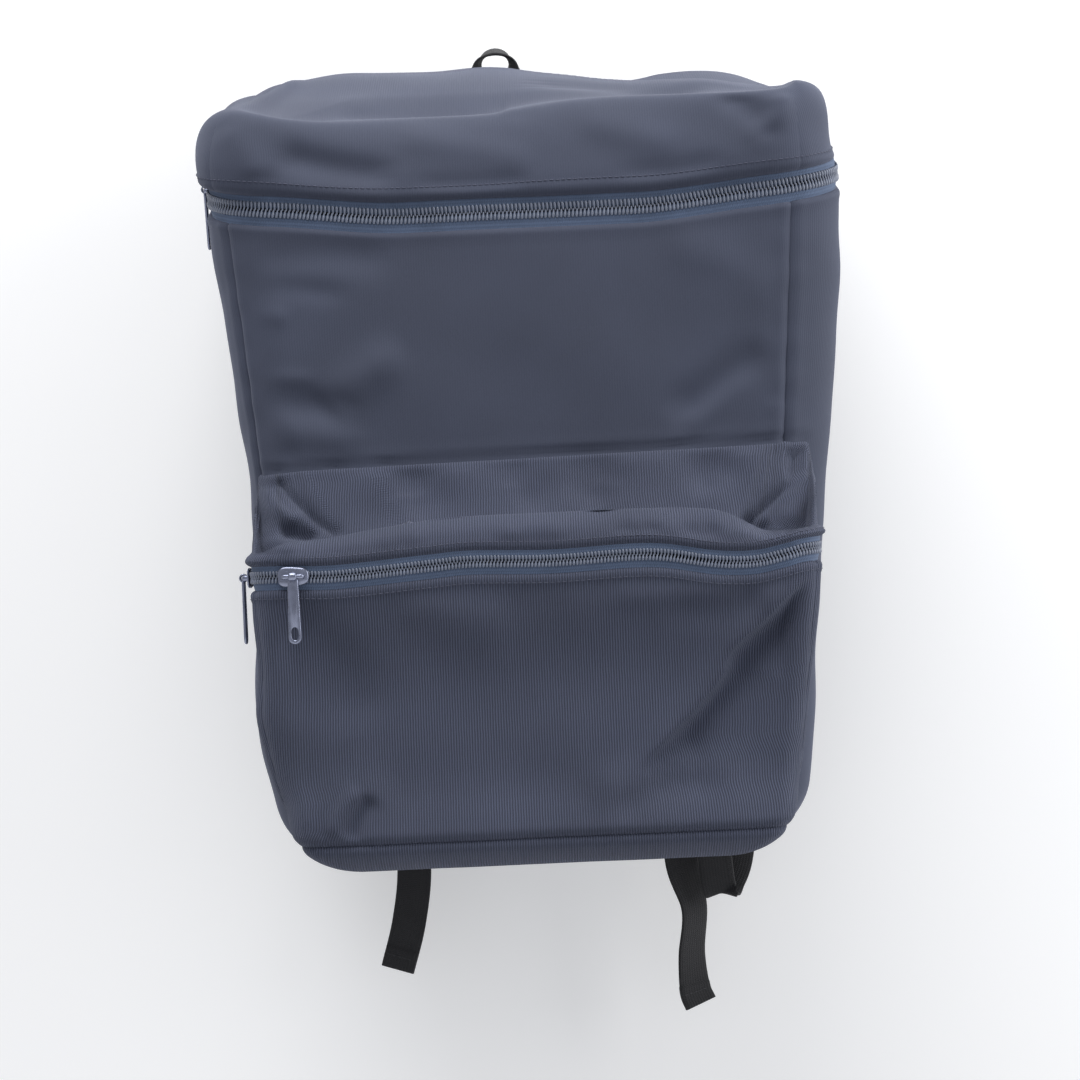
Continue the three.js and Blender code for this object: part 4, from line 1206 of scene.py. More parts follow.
@dataclass
class Lid:
    """The lid: a wall round three sides, a back and a soft top that dips behind its front edge."""

    form: BagForm = FORM
    hem: float = 7.4
    left_seam: float = 1.52
    right_seam: float = 3.27
    panel: float = 2.0
    half_top: float = 165.0
    roll_left: float = 15.0
    roll_front: float = 3.5
    roll_right: float = 9.0
    lean: float = 12.5
    brow: float = 2.0
    front_edge: tuple = (
        (-172, -14), (-160, -5), (-146, -1), (-118, -6.5), (-89, -9.3), (-18, -9.8), (0, -7.3),
        (25, -4.2), (46, -3.1), (85, -2.6), (140, -1.3), (152, 1.5), (163, -2.5), (172, -9),
    )
    back_edge: tuple = (
        (-172, -24), (-160, -12), (-152, -7.5), (-136, -0.5), (-110, 0.5), (-18, 1), (28, -3),
        (66, -6.8), (87, -5), (108, -5), (128, -6.5), (141, -10), (153, -15), (172, -26),
    )
    left_slack: tuple = ((0, 0.6), (0.3, 0), (0.6, -2.4), (1, -3.6))
    right_slack: tuple = ((0, 2.6), (0.12, -1.0), (0.3, -3.2), (0.6, -2.4), (1, -0.4))
    wall_folds: tuple = (
        Fold(((-128, 374), (-100, 366), (-58, 358)), -4.2, 8),
        Fold(((-60, 354), (-20, 352), (10, 354)), -1.8, 5),
        Fold(((48, 355), (80, 355), (112, 361)), -1.6, 5),
        Fold(((-70, 384), (-25, 374), (15, 362)), 2.4, 9),
        Fold(((-62, 396), (-20, 394), (20, 392)), -1.4, 7),
        Fold(((30, 388), (60, 376), (90, 368)), 1.8, 9),
        Fold(((104, 400), (126, 384), (132, 366)), -3.4, 7),
        Fold(((140, 398), (138, 382), (118, 368)), 3.2, 6),
        Fold(((-152, 392), (-140, 374), (-134, 358)), 2.0, 8),
    )
    top_folds: tuple = (
        Fold(((-152, -116), (-137, -70), (-120, -4)), 4.4, 7),
        Fold(((-162, -80), (-148, -50), (-136, -10)), -3.4, 9),
        Fold(((122, -84), (98, -62), (45, -24), (-10, -2)), -5.5, 4.0, FoldKind.STEP, 38, 0.25),
        Fold(((0, -55), (60, -75), (110, -105)), -3.0, 14),
        Fold(((-100, -95), (-60, -102), (0, -100)), -2.0, 10),
    )

    def crest(self, x: Array, y: Array) -> Array:
        """Height of the lid's upper edge: a slope, with an uneven line at the back and the front."""
        form = self.form
        forward = rise(-y, 20, 115)
        uneven = amount(x, self.back_edge) * (1 - forward) + amount(x, self.front_edge) * forward
        slope = math.tan(math.radians(form.lid_tilt))
        return form.zip_height + form.lid_height + y * slope + uneven

    def roll(self, s: Array) -> Array:
        """How far the wall's top leans in from its foot at a station."""
        left = self.roll_left * (1 - rise(s, 1.0, 2.1))
        right = self.roll_right * rise(s, 2.9, 4.0)
        return left + right + self.roll_front * rise(s, 1.0, 2.1) * (1 - rise(s, 2.9, 4.0))

    def foot(self, s: Array) -> Array:
        """Height of the lid's hem, a little above the main zip."""
        return self.form.zip_at(s) + self.hem

    def plan_at(self, s: Array, v: Values) -> tuple[Array, Array]:
        """Points of the lid's section at stations and a share v of its height, and the ways outwards.

        The wall leans in by its roll times v^3. The front also leans by lean times v and ends in a brow,
        which draws in by v^9.
        """
        s, v = np.broadcast_arrays(np.asarray(s, float), v)
        flat, away = self.form.top_plan(s)
        slack = beside(s, amount(v, self.left_slack), amount(v, self.right_slack))
        middle = rise(s, 2.0, 2.3) * (1 - rise(s, 2.7, 3.0))
        brow = self.brow * (0.4 + 0.6 * middle) * v**9
        back = self.roll(s) * v**3 + self.lean * middle * v + brow
        return flat + away * (slack - back)[..., None], away

    def wall(self, s: Array, v: Array, out: float = 0.0) -> Array:
        """The lid's wall, from its hem at v 0 to its upper edge at v 1.

        Its height goes by a quarter of v and three quarters of the sine of a quarter turn times v, so that
        it arrives at the edge on a slant. It swells by the sine of half a turn times v^0.42 in front,
        which is fullest low down, and by that of v at the sides.

        Args:
            s: the stations.
            v: the shares of its height.
            out: how far the points are moved outwards.
        Returns:
            The points.
        """
        s, v = np.broadcast_arrays(np.asarray(s, float), v)
        top, _ = self.plan_at(s, 1.0)
        low, high = self.foot(s), self.crest(top[..., 0], top[..., 1])
        z = low + (high - low) * (0.25 * v + 0.75 * np.sin(v * math.pi / 2))
        flat, away = self.plan_at(s, v)
        arch = np.sin(math.pi * v)
        sides = rise(np.abs(s - 2.5), 0.8, 1.6)
        swell = (1 - sides) * 5.4 * np.sin(math.pi * v**0.42) + sides * 4.6 * arch**0.9
        hem = hem_roll(z - low, height=0.8, band=(5.0, 7.5), row=4.6)
        front = 1 - rise(np.abs(s - 2.5), 0.9, 1.5)
        fold = folded(self.wall_folds, flat[..., 0], z) * rise(v, 0, 0.2) * rise(1 - v, 0, 0.3)
        station = self.form.corner * math.pi / 2
        seams = sum(seam_dip((s - seam) * station, 1.0) for seam in (self.left_seam, self.right_seam))
        moved = swell + hem + fold + 0.7 * ripple(flat[..., 0] + flat[..., 1], z, 48, seed=21) * arch
        moved = moved + seams * (1 - v) ** 2 * 0.5 + 0.5 * front * arch + out
        xy = flat + away * moved[..., None]
        return joined(xy[..., 0], xy[..., 1], z)

    def make_walls(self) -> None:
        """Makes the lid's side walls and its front wall."""
        body = Body()
        parts = (
            ("lid_side_cloth_left", "lid_side_left", 0.0, self.left_seam),
            ("lid_front_cloth", "lid_front", self.left_seam, self.right_seam),
            ("lid_side_cloth_right", "lid_side_right", self.right_seam, 5.0),
        )
        for name, node, low, high in parts:
            s = body.stations(low, high)[None]
            v = shares(self.form.lid_height, 1.8)[:, None]
            piece = sheet_object(name, self.wall(s, v), self.panel, IN_LID)
            finished(piece, "lid", CLOTH, "body_cloth", node)

    def top_at(self, d: Array, u: Array) -> Array:
        """The lid's top at a distance forwards and a share of its half width.

        Its edge is the walls' upper edge, which |u|^24 brings in near the sides alone, so that the rows run
        straight over the top and meet the leaning front. At a distance m inside the edge it dips by
        2.2 (1 - exp(-(m/12)^2)) exp(-(m/50)^2) in front, and has a low crown further back.
        """
        form = self.form
        straight = form.depth - form.corner
        turn = np.arcsin(np.clip((d - straight) / form.corner, 0, 1))
        s = np.clip(d / straight, 0, 1) + turn / (math.pi / 2)
        left, right = self.plan_at(s, 1.0)[0], self.plan_at(5 - s, 1.0)[0]
        reach = np.where(u < 0, np.abs(left[..., 0]), np.abs(right[..., 0]))
        x = u * reach
        aside = np.clip(x / (form.top_width - 2 * form.corner), -0.5, 0.5)
        ahead, _ = self.plan_at(2.5 + aside, 1.0)
        share, met = rise(u, -0.6, 0.6), rise(d, 60, form.depth)
        corners = [self.plan_at(place, 1.0)[0][..., 1] for place in (2.0, 3.0)]
        rim = left[..., 1] * (1 - share) + right[..., 1] * share
        rim = rim + (ahead[..., 1] - corners[0] * (1 - share) - corners[1] * share) * met
        y = (ahead[..., 1] + form.depth) * rise(d, 40, form.depth) - d
        y = y + (rim - y) * np.abs(u) ** 24
        inward = np.minimum(reach * (1 - np.abs(u)) * 0.8, form.depth - d)
        dip = 2.2 * (1 - bell(inward, 0, 12)) * bell(inward, 0, 50) * rise(-y, 20, 100)
        crown = 3.5 * rise(inward, 3, 50) * (1 - rise(-y, 70, 120))
        z = self.crest(x, y) - dip + crown - 1.2 * (1 - rise(-y, 0, 6))
        uneven = folded(self.top_folds, x, y) + 0.8 * ripple(x, y, 60, seed=31)
        z = z + uneven * rise(inward, 1, 14)
        return joined(x, y, z)

    def make_top(self) -> None:
        """Makes the lid's top panel."""
        d = edged(0.0, self.form.depth - 0.001, 2.0)[:, None]
        u = edged(-self.half_top, self.half_top, 2.4)[None] / self.half_top
        piece = sheet_object("lid_top_cloth", self.top_at(d, u), self.panel, IN_LID)
        finished(piece, "lid", CLOTH, "body_cloth", "lid_top")

    def make_back(self) -> None:
        """Makes the lid's back, from the line that it turns on up to the top panel's back edge."""
        u = edged(-self.half_top, self.half_top, 4.0)[None] / self.half_top
        v = shares(self.form.lid_height, 2.5)[:, None]
        top = self.top_at(np.zeros((1, 1)), u)[..., 2]
        (left, _), (right, _) = self.plan_at(0.0, v), self.plan_at(5.0, v)
        x = np.where(u < 0, -left[..., 0], right[..., 0]) * u
        foot = self.form.zip_height + 0.4
        z = foot + (top - foot) * v
        arch = np.sin(math.pi * v)
        y = 1.4 * arch - 0.8 + 0.5 * ripple(x, z, 40, seed=33) * arch
        grid = joined(x, y, z)
        piece = sheet_object("lid_back_cloth", grid, self.panel, IN_LID)
        finished(piece, "lid", CLOTH, "body_cloth", "lid_back")

    def make_stitches(self) -> None:
        """Sews the row along the lid's hem."""
        s = stations_round(0.03, 120)
        v = np.full(s.shape, 4.6 / self.form.lid_height)
        stitches("lid_hem_thread", *on_wall(self.wall, s, v, 0.25), "lid")

    def build(self) -> None:
        """Makes and dresses the lid."""
        self.make_walls()
        self.make_top()
        self.make_back()
        self.make_stitches()


@dataclass
class Pocket:
    """The front pocket: its walls, its gusset and floor, and the hood over its zip."""

    form: BagForm = FORM
    side_seam: float = 1.33
    rim_drop: float = 6.6
    lip_hem: float = 5.4
    seam_height: float = 16.0
    back: float = 110.0
    panel: float = 2.0
    wave: tuple = (
        (-170, 0), (-126, 0), (-100, -0.8), (-52, 2.4), (-31, 3.6), (9, 2.4), (48, 3.6), (68, 2.6),
        (92, -1.6), (112, -2.4), (128, 0.5), (140, 3.0), (165, 4.5),
    )
    lip_line: tuple = (
        (-150, 165), (-136, 165), (-122, 169), (-102, 170), (-74, 174), (-41, 177.5), (10, 178),
        (60, 178), (88, 176.5), (98, 174), (109, 169), (119, 164.5), (132, 165), (150, 167),
    )
    left_slack: tuple = (
        (0, -11), (8, -9), (20, -8.5), (32, -5.5), (45, -1), (62, 2), (82, 4.4), (105, 0.8), (130, 0.4),
        (152, -0.4), (210, 0),
    )
    right_slack: tuple = (
        (0, -9), (17, -10.5), (32, -7), (50, -4), (77, -2), (105, 0.2), (135, 2.2), (152, 2.4),
        (210, 3),
    )
    front_folds: tuple = (
        Fold(
            ((40, 44), (68, 66), (92, 91), (98, 105), (116, 120), (134, 137), (150, 152)),
            -10.0, 3.4, FoldKind.STEP, 26, 0.18,
        ),
        Fold(((44, 52), (68, 72), (90, 96), (110, 121), (138, 146)), 2.2, 7, fade=0.2),
        Fold(((74, 60), (100, 76), (122, 98), (140, 126)), 2.2, 9),
        Fold(((20, 34), (52, 50), (80, 58)), 2.6, 9),
        Fold(((30, 24), (60, 36), (96, 40)), -2.2, 7),
        Fold(((20, 30), (62, 44), (112, 50)), 2.0, 14),
        Fold(((-128, 28), (-104, 38), (-70, 46)), 3.4, 12),
        Fold(((-92, 46), (-101, 34), (-107, 20)), 2.8, 4.0, fade=0.2),
        Fold(((-84, 40), (-92, 30), (-98, 18)), -3.4, 5, fade=0.2),
        Fold(((-128, 138), (-112, 120), (-96, 96), (-90, 70)), -3.0, 15),
        Fold(((-148, 120), (-138, 96), (-120, 60)), 2.2, 12),
        Fold(((-70, 142), (-40, 128), (-10, 124)), 1.8, 14),
        Fold(((30, 140), (70, 136), (110, 140)), 1.8, 9),
        Fold(((60, 128), (95, 126), (120, 132)), -2.0, 9),
    )

    def slack(self, s: Array, x: Array, z: Array) -> Array:
        """How far the pocket's cloth stands out from the plain section.

        Args:
            s: the stations.
            x: the places across at those stations.
            z: the heights.
        Returns:
            The slack of the sides, and in front a hollow under the zip, a low bulge and the folds.
        """
        slack = beside(s, amount(z, self.left_slack), amount(z, self.right_slack))
        front = rise(s, 1.35, 2.1) * (1 - rise(s, 2.9, 3.65))
        clear = rise(self.form.pocket_zip - z, 6, 22)
        hollow = -5.5 * bell(z, 100, 32) * (1 - (x / 150) ** 4) + 10.0 * bell(z, 19, 19)
        full = hollow + folded(self.front_folds, x, z) * clear + 0.8 * ripple(x, z, 60, seed=41) * clear
        return slack + front * full

    def wall(self, s: Array, z: Array, out: Values = 0.0) -> Array:
        """Points of the pocket's wall, whose depth is drawn in by a quarter circle at its foot.

        Args:
            s: the stations.
            z: the heights.
            out: how far the points are moved outwards.
        Returns:
            The points.
        """
        form = self.form
        s, z = np.broadcast_arrays(np.asarray(s, float), z)
        low = np.clip(form.pocket_foot - z, 0, form.pocket_foot)
        depth = form.front - form.pocket_foot + np.sqrt(form.pocket_foot**2 - low**2)
        half = form.half_width(z) - form.pocket_margin
        flat, away = form.plan(s, half, depth, form.pocket_corner, self.back)
        xy = flat + away * (self.slack(s, flat[..., 0], z) + out)[..., None]
        return joined(xy[..., 0], xy[..., 1], z)

    def zip_line(self, s: Array) -> Array:
        """Height of the pocket zip's middle."""
        form = self.form
        half = form.half_width(form.pocket_zip) - form.pocket_margin
        flat, _ = form.plan(s, half, form.front, form.pocket_corner, self.back)
        return form.pocket_zip + amount(flat[..., 0], self.wave) * rise(s, 1.0, 1.6)

    def relief(self, s: Array, z: Array) -> Array:
        """The hem's roll below the zip, the side seams and the bottom seam."""
        station = self.form.pocket_corner * math.pi / 2
        seams = (self.side_seam, 5 - self.side_seam)
        sides = sum(seam_dip((s - seam) * station, 1.0) for seam in seams)
        hem = hem_roll(self.zip_line(s) - self.rim_drop - z)
        return sides + hem + seam_dip(z - self.seam_height, 2.2)

    def stations(self, low: float, high: float, step: float) -> Array:
        """Stations between two places, about a step apart on the cloth."""
        form = self.form
        width, depth = form.base_width - 2 * form.pocket_margin, form.front - self.back
        return stations_between(low, high, step, width, depth, form.pocket_corner)

    def make_walls(self) -> None:
        """Makes the pocket's two sides, its front and the gusset below them."""
        seam = self.seam_height
        left, right = self.side_seam, 5 - self.side_seam
        sides = (
            ("pocket_side_cloth_left", "pocket_side_left", 0.0, left, 0.6),
            ("pocket_front_cloth", "pocket_front_panel", left, right, seam),
            ("pocket_side_cloth_right", "pocket_side_right", right, 5.0, 0.6),
        )
        for name, node, low, high, foot in sides:
            s = self.stations(low, high, 2.0)[None]
            top = self.zip_line(s) - self.rim_drop
            z = foot + (top - foot) * shares(130.0, 2.0)[:, None]
            piece = sheet_object(name, self.wall(s, z, self.relief(s, z)), self.panel)
            finished(piece, "bag", RIBBED, "body_cloth", node)

        s = self.stations(left, right, 2.4)[None]
        z = edged(0.5, seam, 1.6)[:, None]
        flare = -1.2 * rise(np.abs(s - 2.5), 0.5, 1.2)
        grid = self.wall(s, z, self.relief(s, z) + flare + 0.6 * np.sin(math.pi * z / seam))
        piece = sheet_object("pocket_gusset_cloth", grid, self.panel)
        finished(piece, "bag", RIBBED, "body_cloth", "pocket_gusset")

    def make_floor(self) -> None:
        """Makes the pocket's floor between the body and the gusset."""
        form = self.form
        reach = form.pocket_depth - form.pocket_foot
        d = edged(0.0, reach, 3.0, fine=False)[:, None]
        u = edged(-1.0, 1.0, 0.04, fine=False)[None]
        half = form.half_width(1.0) - form.pocket_margin - 4.0
        past = np.clip(d - reach + form.pocket_corner, 0, form.pocket_corner)
        half = half - form.pocket_corner + np.sqrt(form.pocket_corner**2 - past**2)
        z = 0.5 + 0.4 * np.abs(u) ** 6
        grid = joined(u * half, -form.depth - d, z)
        piece = sheet_object("pocket_floor_cloth", grid, self.panel)
        finished(piece, "bag", CLOTH, "body_cloth", "pocket_bottom")

    def build(self) -> None:
        """Makes and dresses the pocket."""
        self.make_walls()
        self.make_floor()
        Hood(self).build()
        s = stations_round(0.1, 60)
        z = self.zip_line(s) - self.rim_drop - 4.4
        stitches("pocket_rim_thread", *on_wall(self.wall, s, z, self.relief(s, z) + 0.25), "bag")


@dataclass
class Hood:
    """The cloth over the pocket's zip: a lip above the zip, and a roof up to the seam on the body."""

    pocket: Pocket
    seam_left: float = 207.3
    seam_right: float = 212.7
    seam_foot: float = 166.0
    turn: float = 1.85
    lip: float = 0.35
    tuck: float = 2.2
    folds: tuple = (
        Fold(((-133, 205), (-124, 193), (-112, 181), (-98, 171)), -5.0, 2.6, FoldKind.CREASE, fade=0.1),
        Fold(((-141, 200), (-136, 190), (-126, 183), (-116, 178)), 4.6, 5.5, fade=0.2),
        Fold(((-137, 203), (-130, 191), (-121, 182)), -2.6, 2.0, FoldKind.CREASE, fade=0.15),
        Fold(((-132, 175), (-122, 174), (-108, 172)), -6.0, 3.6, fade=0.25),
        Fold(((-144, 168), (-130, 169), (-118, 166)), 2.6, 4.5, fade=0.2),
        Fold(
            ((140, 211), (139.5, 201), (137, 192), (130, 185), (119, 176), (109, 169)),
            -5.5, 2.6, FoldKind.CREASE, fade=0.1,
        ),
        Fold(((149, 196), (147, 184), (138, 174), (127, 166)), 4.4, 6.0, fade=0.2),
        Fold(((143, 200), (141, 192), (139, 186)), -2.0, 2.0, FoldKind.CREASE),
        Fold(((124, 168), (117, 167), (106, 172)), -6.0, 3.6, fade=0.25),
        Fold(((-78, 204), (-52, 192), (-66, 182)), -2.6, 9),
        Fold(((-20, 206), (6, 196), (-10, 186)), -2.2, 10),
        Fold(((52, 206), (28, 194), (46, 184)), -2.6, 9),
        Fold(((112, 204), (92, 196), (98, 186)), -2.2, 8),
        Fold(((-80, 166), (-66, 172), (-52, 168)), 1.6, 6),
        Fold(((-20, 166), (0, 173), (22, 167)), 1.8, 7),
        Fold(((40, 172), (54, 164), (66, 172)), -1.8, 5),
        Fold(((74, 170), (85, 163), (96, 169)), -1.8, 5),
    )

    def crease(self, s: Array) -> Array:
        """The lip's upper edge, where the cloth turns back towards the body and leans in in front."""
        pocket = self.pocket
        plan = pocket.wall(s, np.full(np.shape(s), pocket.form.pocket_zip))
        z = amount(plan[..., 0], pocket.lip_line)
        lean = 8.5 * rise(s, 1.9, 2.2) * (1 - rise(s, 2.8, 3.1))
        return pocket.wall(s, z + 0.12 * lean, -self.tuck - lean)

    def top(self, s: Array) -> Array:
        """The seam on the body: up the corner from the zip's end, across the front, and down again.

        Up to its corner the seam climbs by the share of the way to the power of 0.8, in a narrow band of
        the body's stations. Over the front it runs straight from the left height to the right one.
        """
        right = s > 2.5
        t = np.where(right, 5 - s, s)
        seam = np.where(right, self.seam_right, self.seam_left)
        middle, rest = (self.seam_left + self.seam_right) / 2, (self.seam_right - self.seam_left) / 2
        level = middle + rest * np.clip((s - 2.5) * 2, -1, 1)
        climb = np.minimum(t / self.turn, 1) ** 0.8
        z = np.where(t < self.turn, self.seam_foot + (seam - self.seam_foot) * climb, level)
        place = np.interp(t, [0, 1.0, self.turn, 2.5], [1.40, 1.42, 1.50, 2.5])
        place = np.where(right, 5 - place, place)
        return self.pocket.form.body(place, z, 0.6 - 0.4 * rise(t, 0.2, self.turn))

    def grid(self, s: Array, v: Array) -> Array:
        """The hood from its hem at v 0, over the lip's edge at v 0.35, to the seam at v 1.

        The lip follows the pocket's wall and leans back to its edge by the power 2.1 of its share. The roof
        sags by the sine of half a turn times its share to the power of 0.62, deepest behind the lip.
        """
        pocket = self.pocket
        s, v = np.broadcast_arrays(np.asarray(s, float), v)
        hem_z = pocket.zip_line(s) + pocket.lip_hem
        edge, top = self.crease(s), self.top(s)
        low = np.clip(v / self.lip, 0, 1)
        lip_z = hem_z + (edge[..., 2] - hem_z) * low
        lip = pocket.wall(s, lip_z) + (edge - pocket.wall(s, edge[..., 2])) * (low**2.1)[..., None]
        swell = 1.6 * np.sin(math.pi * low)
        high = np.clip((v - self.lip) / (1 - self.lip), 0, 1)
        roof = edge + (top - edge) * high[..., None]
        front = 1 - rise(np.abs(s - 2.5), 0.75, 1.2)
        sag = np.sin(math.pi * high**0.62) * (23.0 * front + 1.0)
        roof[..., 2] -= sag * 0.8
        roof[..., 1] += sag * 0.1
        across = (v > self.lip)[..., None]
        points = np.where(across, roof, lip)
        away = unit(points - pocket.wall(s, points[..., 2], -10.0))
        outward = unit(np.where(across, np.array([0.0, -1.0, 0.5]), away))
        above = np.linalg.norm(points - pocket.wall(s, hem_z), axis=-1)
        hem = hem_roll(above, band=(4.6, 6.6))
        near_top = np.linalg.norm(points - top, axis=-1)
        seam = -2.6 * np.exp(-near_top / 1.6) * (v > 0.5)
        x, z = points[..., 0], points[..., 2]
        moved = folded(self.folds, x, z) * rise(near_top, 1, 7) * rise(above, 3, 9)
        uneven = 0.8 * ripple(x, z * 1.5, 34, seed=52)
        moved = moved + uneven * rise(above, 4, 12) * rise(near_top, 2, 10)
        end = 1 - rise(2.5 - np.abs(s - 2.5), 0.1, 1.0)
        full = swell * (v <= self.lip) + np.maximum(hem, 0)
        moved = moved + full * (1 - end) + np.minimum(hem, 0) + seam
        return points + outward * (moved - self.tuck * end * (1 - v))[..., None]

    def build(self) -> None:
        """Makes the hood, eased over its lip's edge, which turns about its seam on the body."""
        pocket = self.pocket
        s = pocket.stations(0.0, 5.0, 1.9)[None]
        lip, roof = shares(25.0, 1.6) * self.lip, self.lip + shares(55.0, 1.6)[1:] * (1 - self.lip)
        v = np.concatenate([lip, roof])[:, None]
        piece = sheet_object("pocket_hood", self.grid(s, v), pocket.panel, IN_POCKET)
        smooth = piece.modifiers.new("ease", "SMOOTH")
        smooth.factor, smooth.iterations = 0.4, 1
        piece.modifiers.move(1, 0)
        nodes = ("pocket_roof", "pocket_lip", "pocket_ledge")
        finished(piece, "pocket_flap", RIBBED, "body_cloth", *nodes)
        row = stations_round(0.6, 60)
        z = pocket.zip_line(row) + pocket.lip_hem + 4.4
        stitches("pocket_lip_thread", *on_wall(pocket.wall, row, z, 1.0), "pocket_flap")


@dataclass
class Zip:
    """A zip along a wall: two woven tapes and two rows of teeth that meet.

    Args:
        name: the CAD nodes' first word.
        line: the height of its middle at a station.
        wall: the wall that it follows.
        moving: the body that its upper half rides on.
        tapes: how far its lower and its upper tape reach from the middle.
        pitch: the distance between two teeth of a row.
        tooth: a tooth's length.
        depth: its height.
    """

    name: str
    line: Callable[[Array], Array]
    wall: Callable[..., Array]
    moving: str
    tapes: tuple[float, float]
    pitch: float = 2.05
    tooth: float = 4.5
    depth: float = 1.9

    @staticmethod
    def stations(count: int) -> Array:
        """Stations along the zip, with that many in front and fewer in its corners and sides."""
        counts = (count // 6, count // 5, count, count // 5)
        parts = [np.linspace(k, k + 1, n, endpoint=False) for k, n in enumerate(counts)]
        return np.concatenate([*parts, np.linspace(4, 5, count // 6)])

    def make_tape(self, part: str, near: float, far: float, body: str) -> None:
        """Makes one tape.

        Args:
            part: lower or upper.
            near: how far its edge at the teeth is from the zip's middle.
            far: how far its other edge is.
            body: the body that it rides on.
        """
        s = self.stations(240)[None]
        share = edged(0.0, 1.0, 0.08, fine=False)[:, None]
        z = self.line(s) + near + (far - near) * share
        fall = 1.9 * share**2 if near < 0 else 0.0
        bow = -1.1 - fall + 0.35 * ripple(s * 100, z, 45, seed=61) * share
        grid = np.swapaxes(self.wall(s, z, bow), 0, 1)
        node = f"{self.name}_{part}_tape"
        finished(sheet_object(f"{node}_weave", grid, 0.7), body, TAPE, "zip_tape", node)

    def make_teeth(self, part: str, side: int, body: str) -> None:
        """Makes one row of teeth, each a bar with a round head that reaches past the middle.

        Args:
            part: lower or upper.
            side: -1 for the lower row and 1 for the upper one.
            body: the body that it rides on.
        """
        s = self.stations(600)
        centre = self.line(s) + side * (self.tooth / 2 - 0.3)
        line, out = on_wall(self.wall, s, centre, -0.5)
        places, outward = evenly(line, self.pitch, out, start=self.pitch * (0.5 if side > 0 else 1.0))
        along = axes_along(places, outward)
        axes = np.stack([side * along[:, 1], along[:, 0], along[:, 2]], axis=1)
        axes[:, 0] = unit(axes[:, 0] + 0.1 * along[:, 0])
        rings = (0.4, 0.62, 0.66, 1.0, 1.08, 1.08, 0.6)
        points, quads = capsule(self.tooth, 0.8 * self.pitch, self.depth, rings)
        turned = (points * (-1, 1, 1), quads[:, ::-1] if side > 0 else quads)
        piece = repeated(f"{self.name}_{part}_teeth", turned, places, axes)
        finished(piece, body, COIL, "zip_coil", f"{self.name}_{part}_coil")

    def build(self) -> None:
        """Makes both halves."""
        lower, upper = self.tapes
        self.make_tape("lower", -1.0, -lower, "bag")
        self.make_tape("upper", 1.0, upper, self.moving)
        self.make_teeth("lower", -1, "bag")
        self.make_teeth("upper", 1, self.moving)


# Sliders and pulls


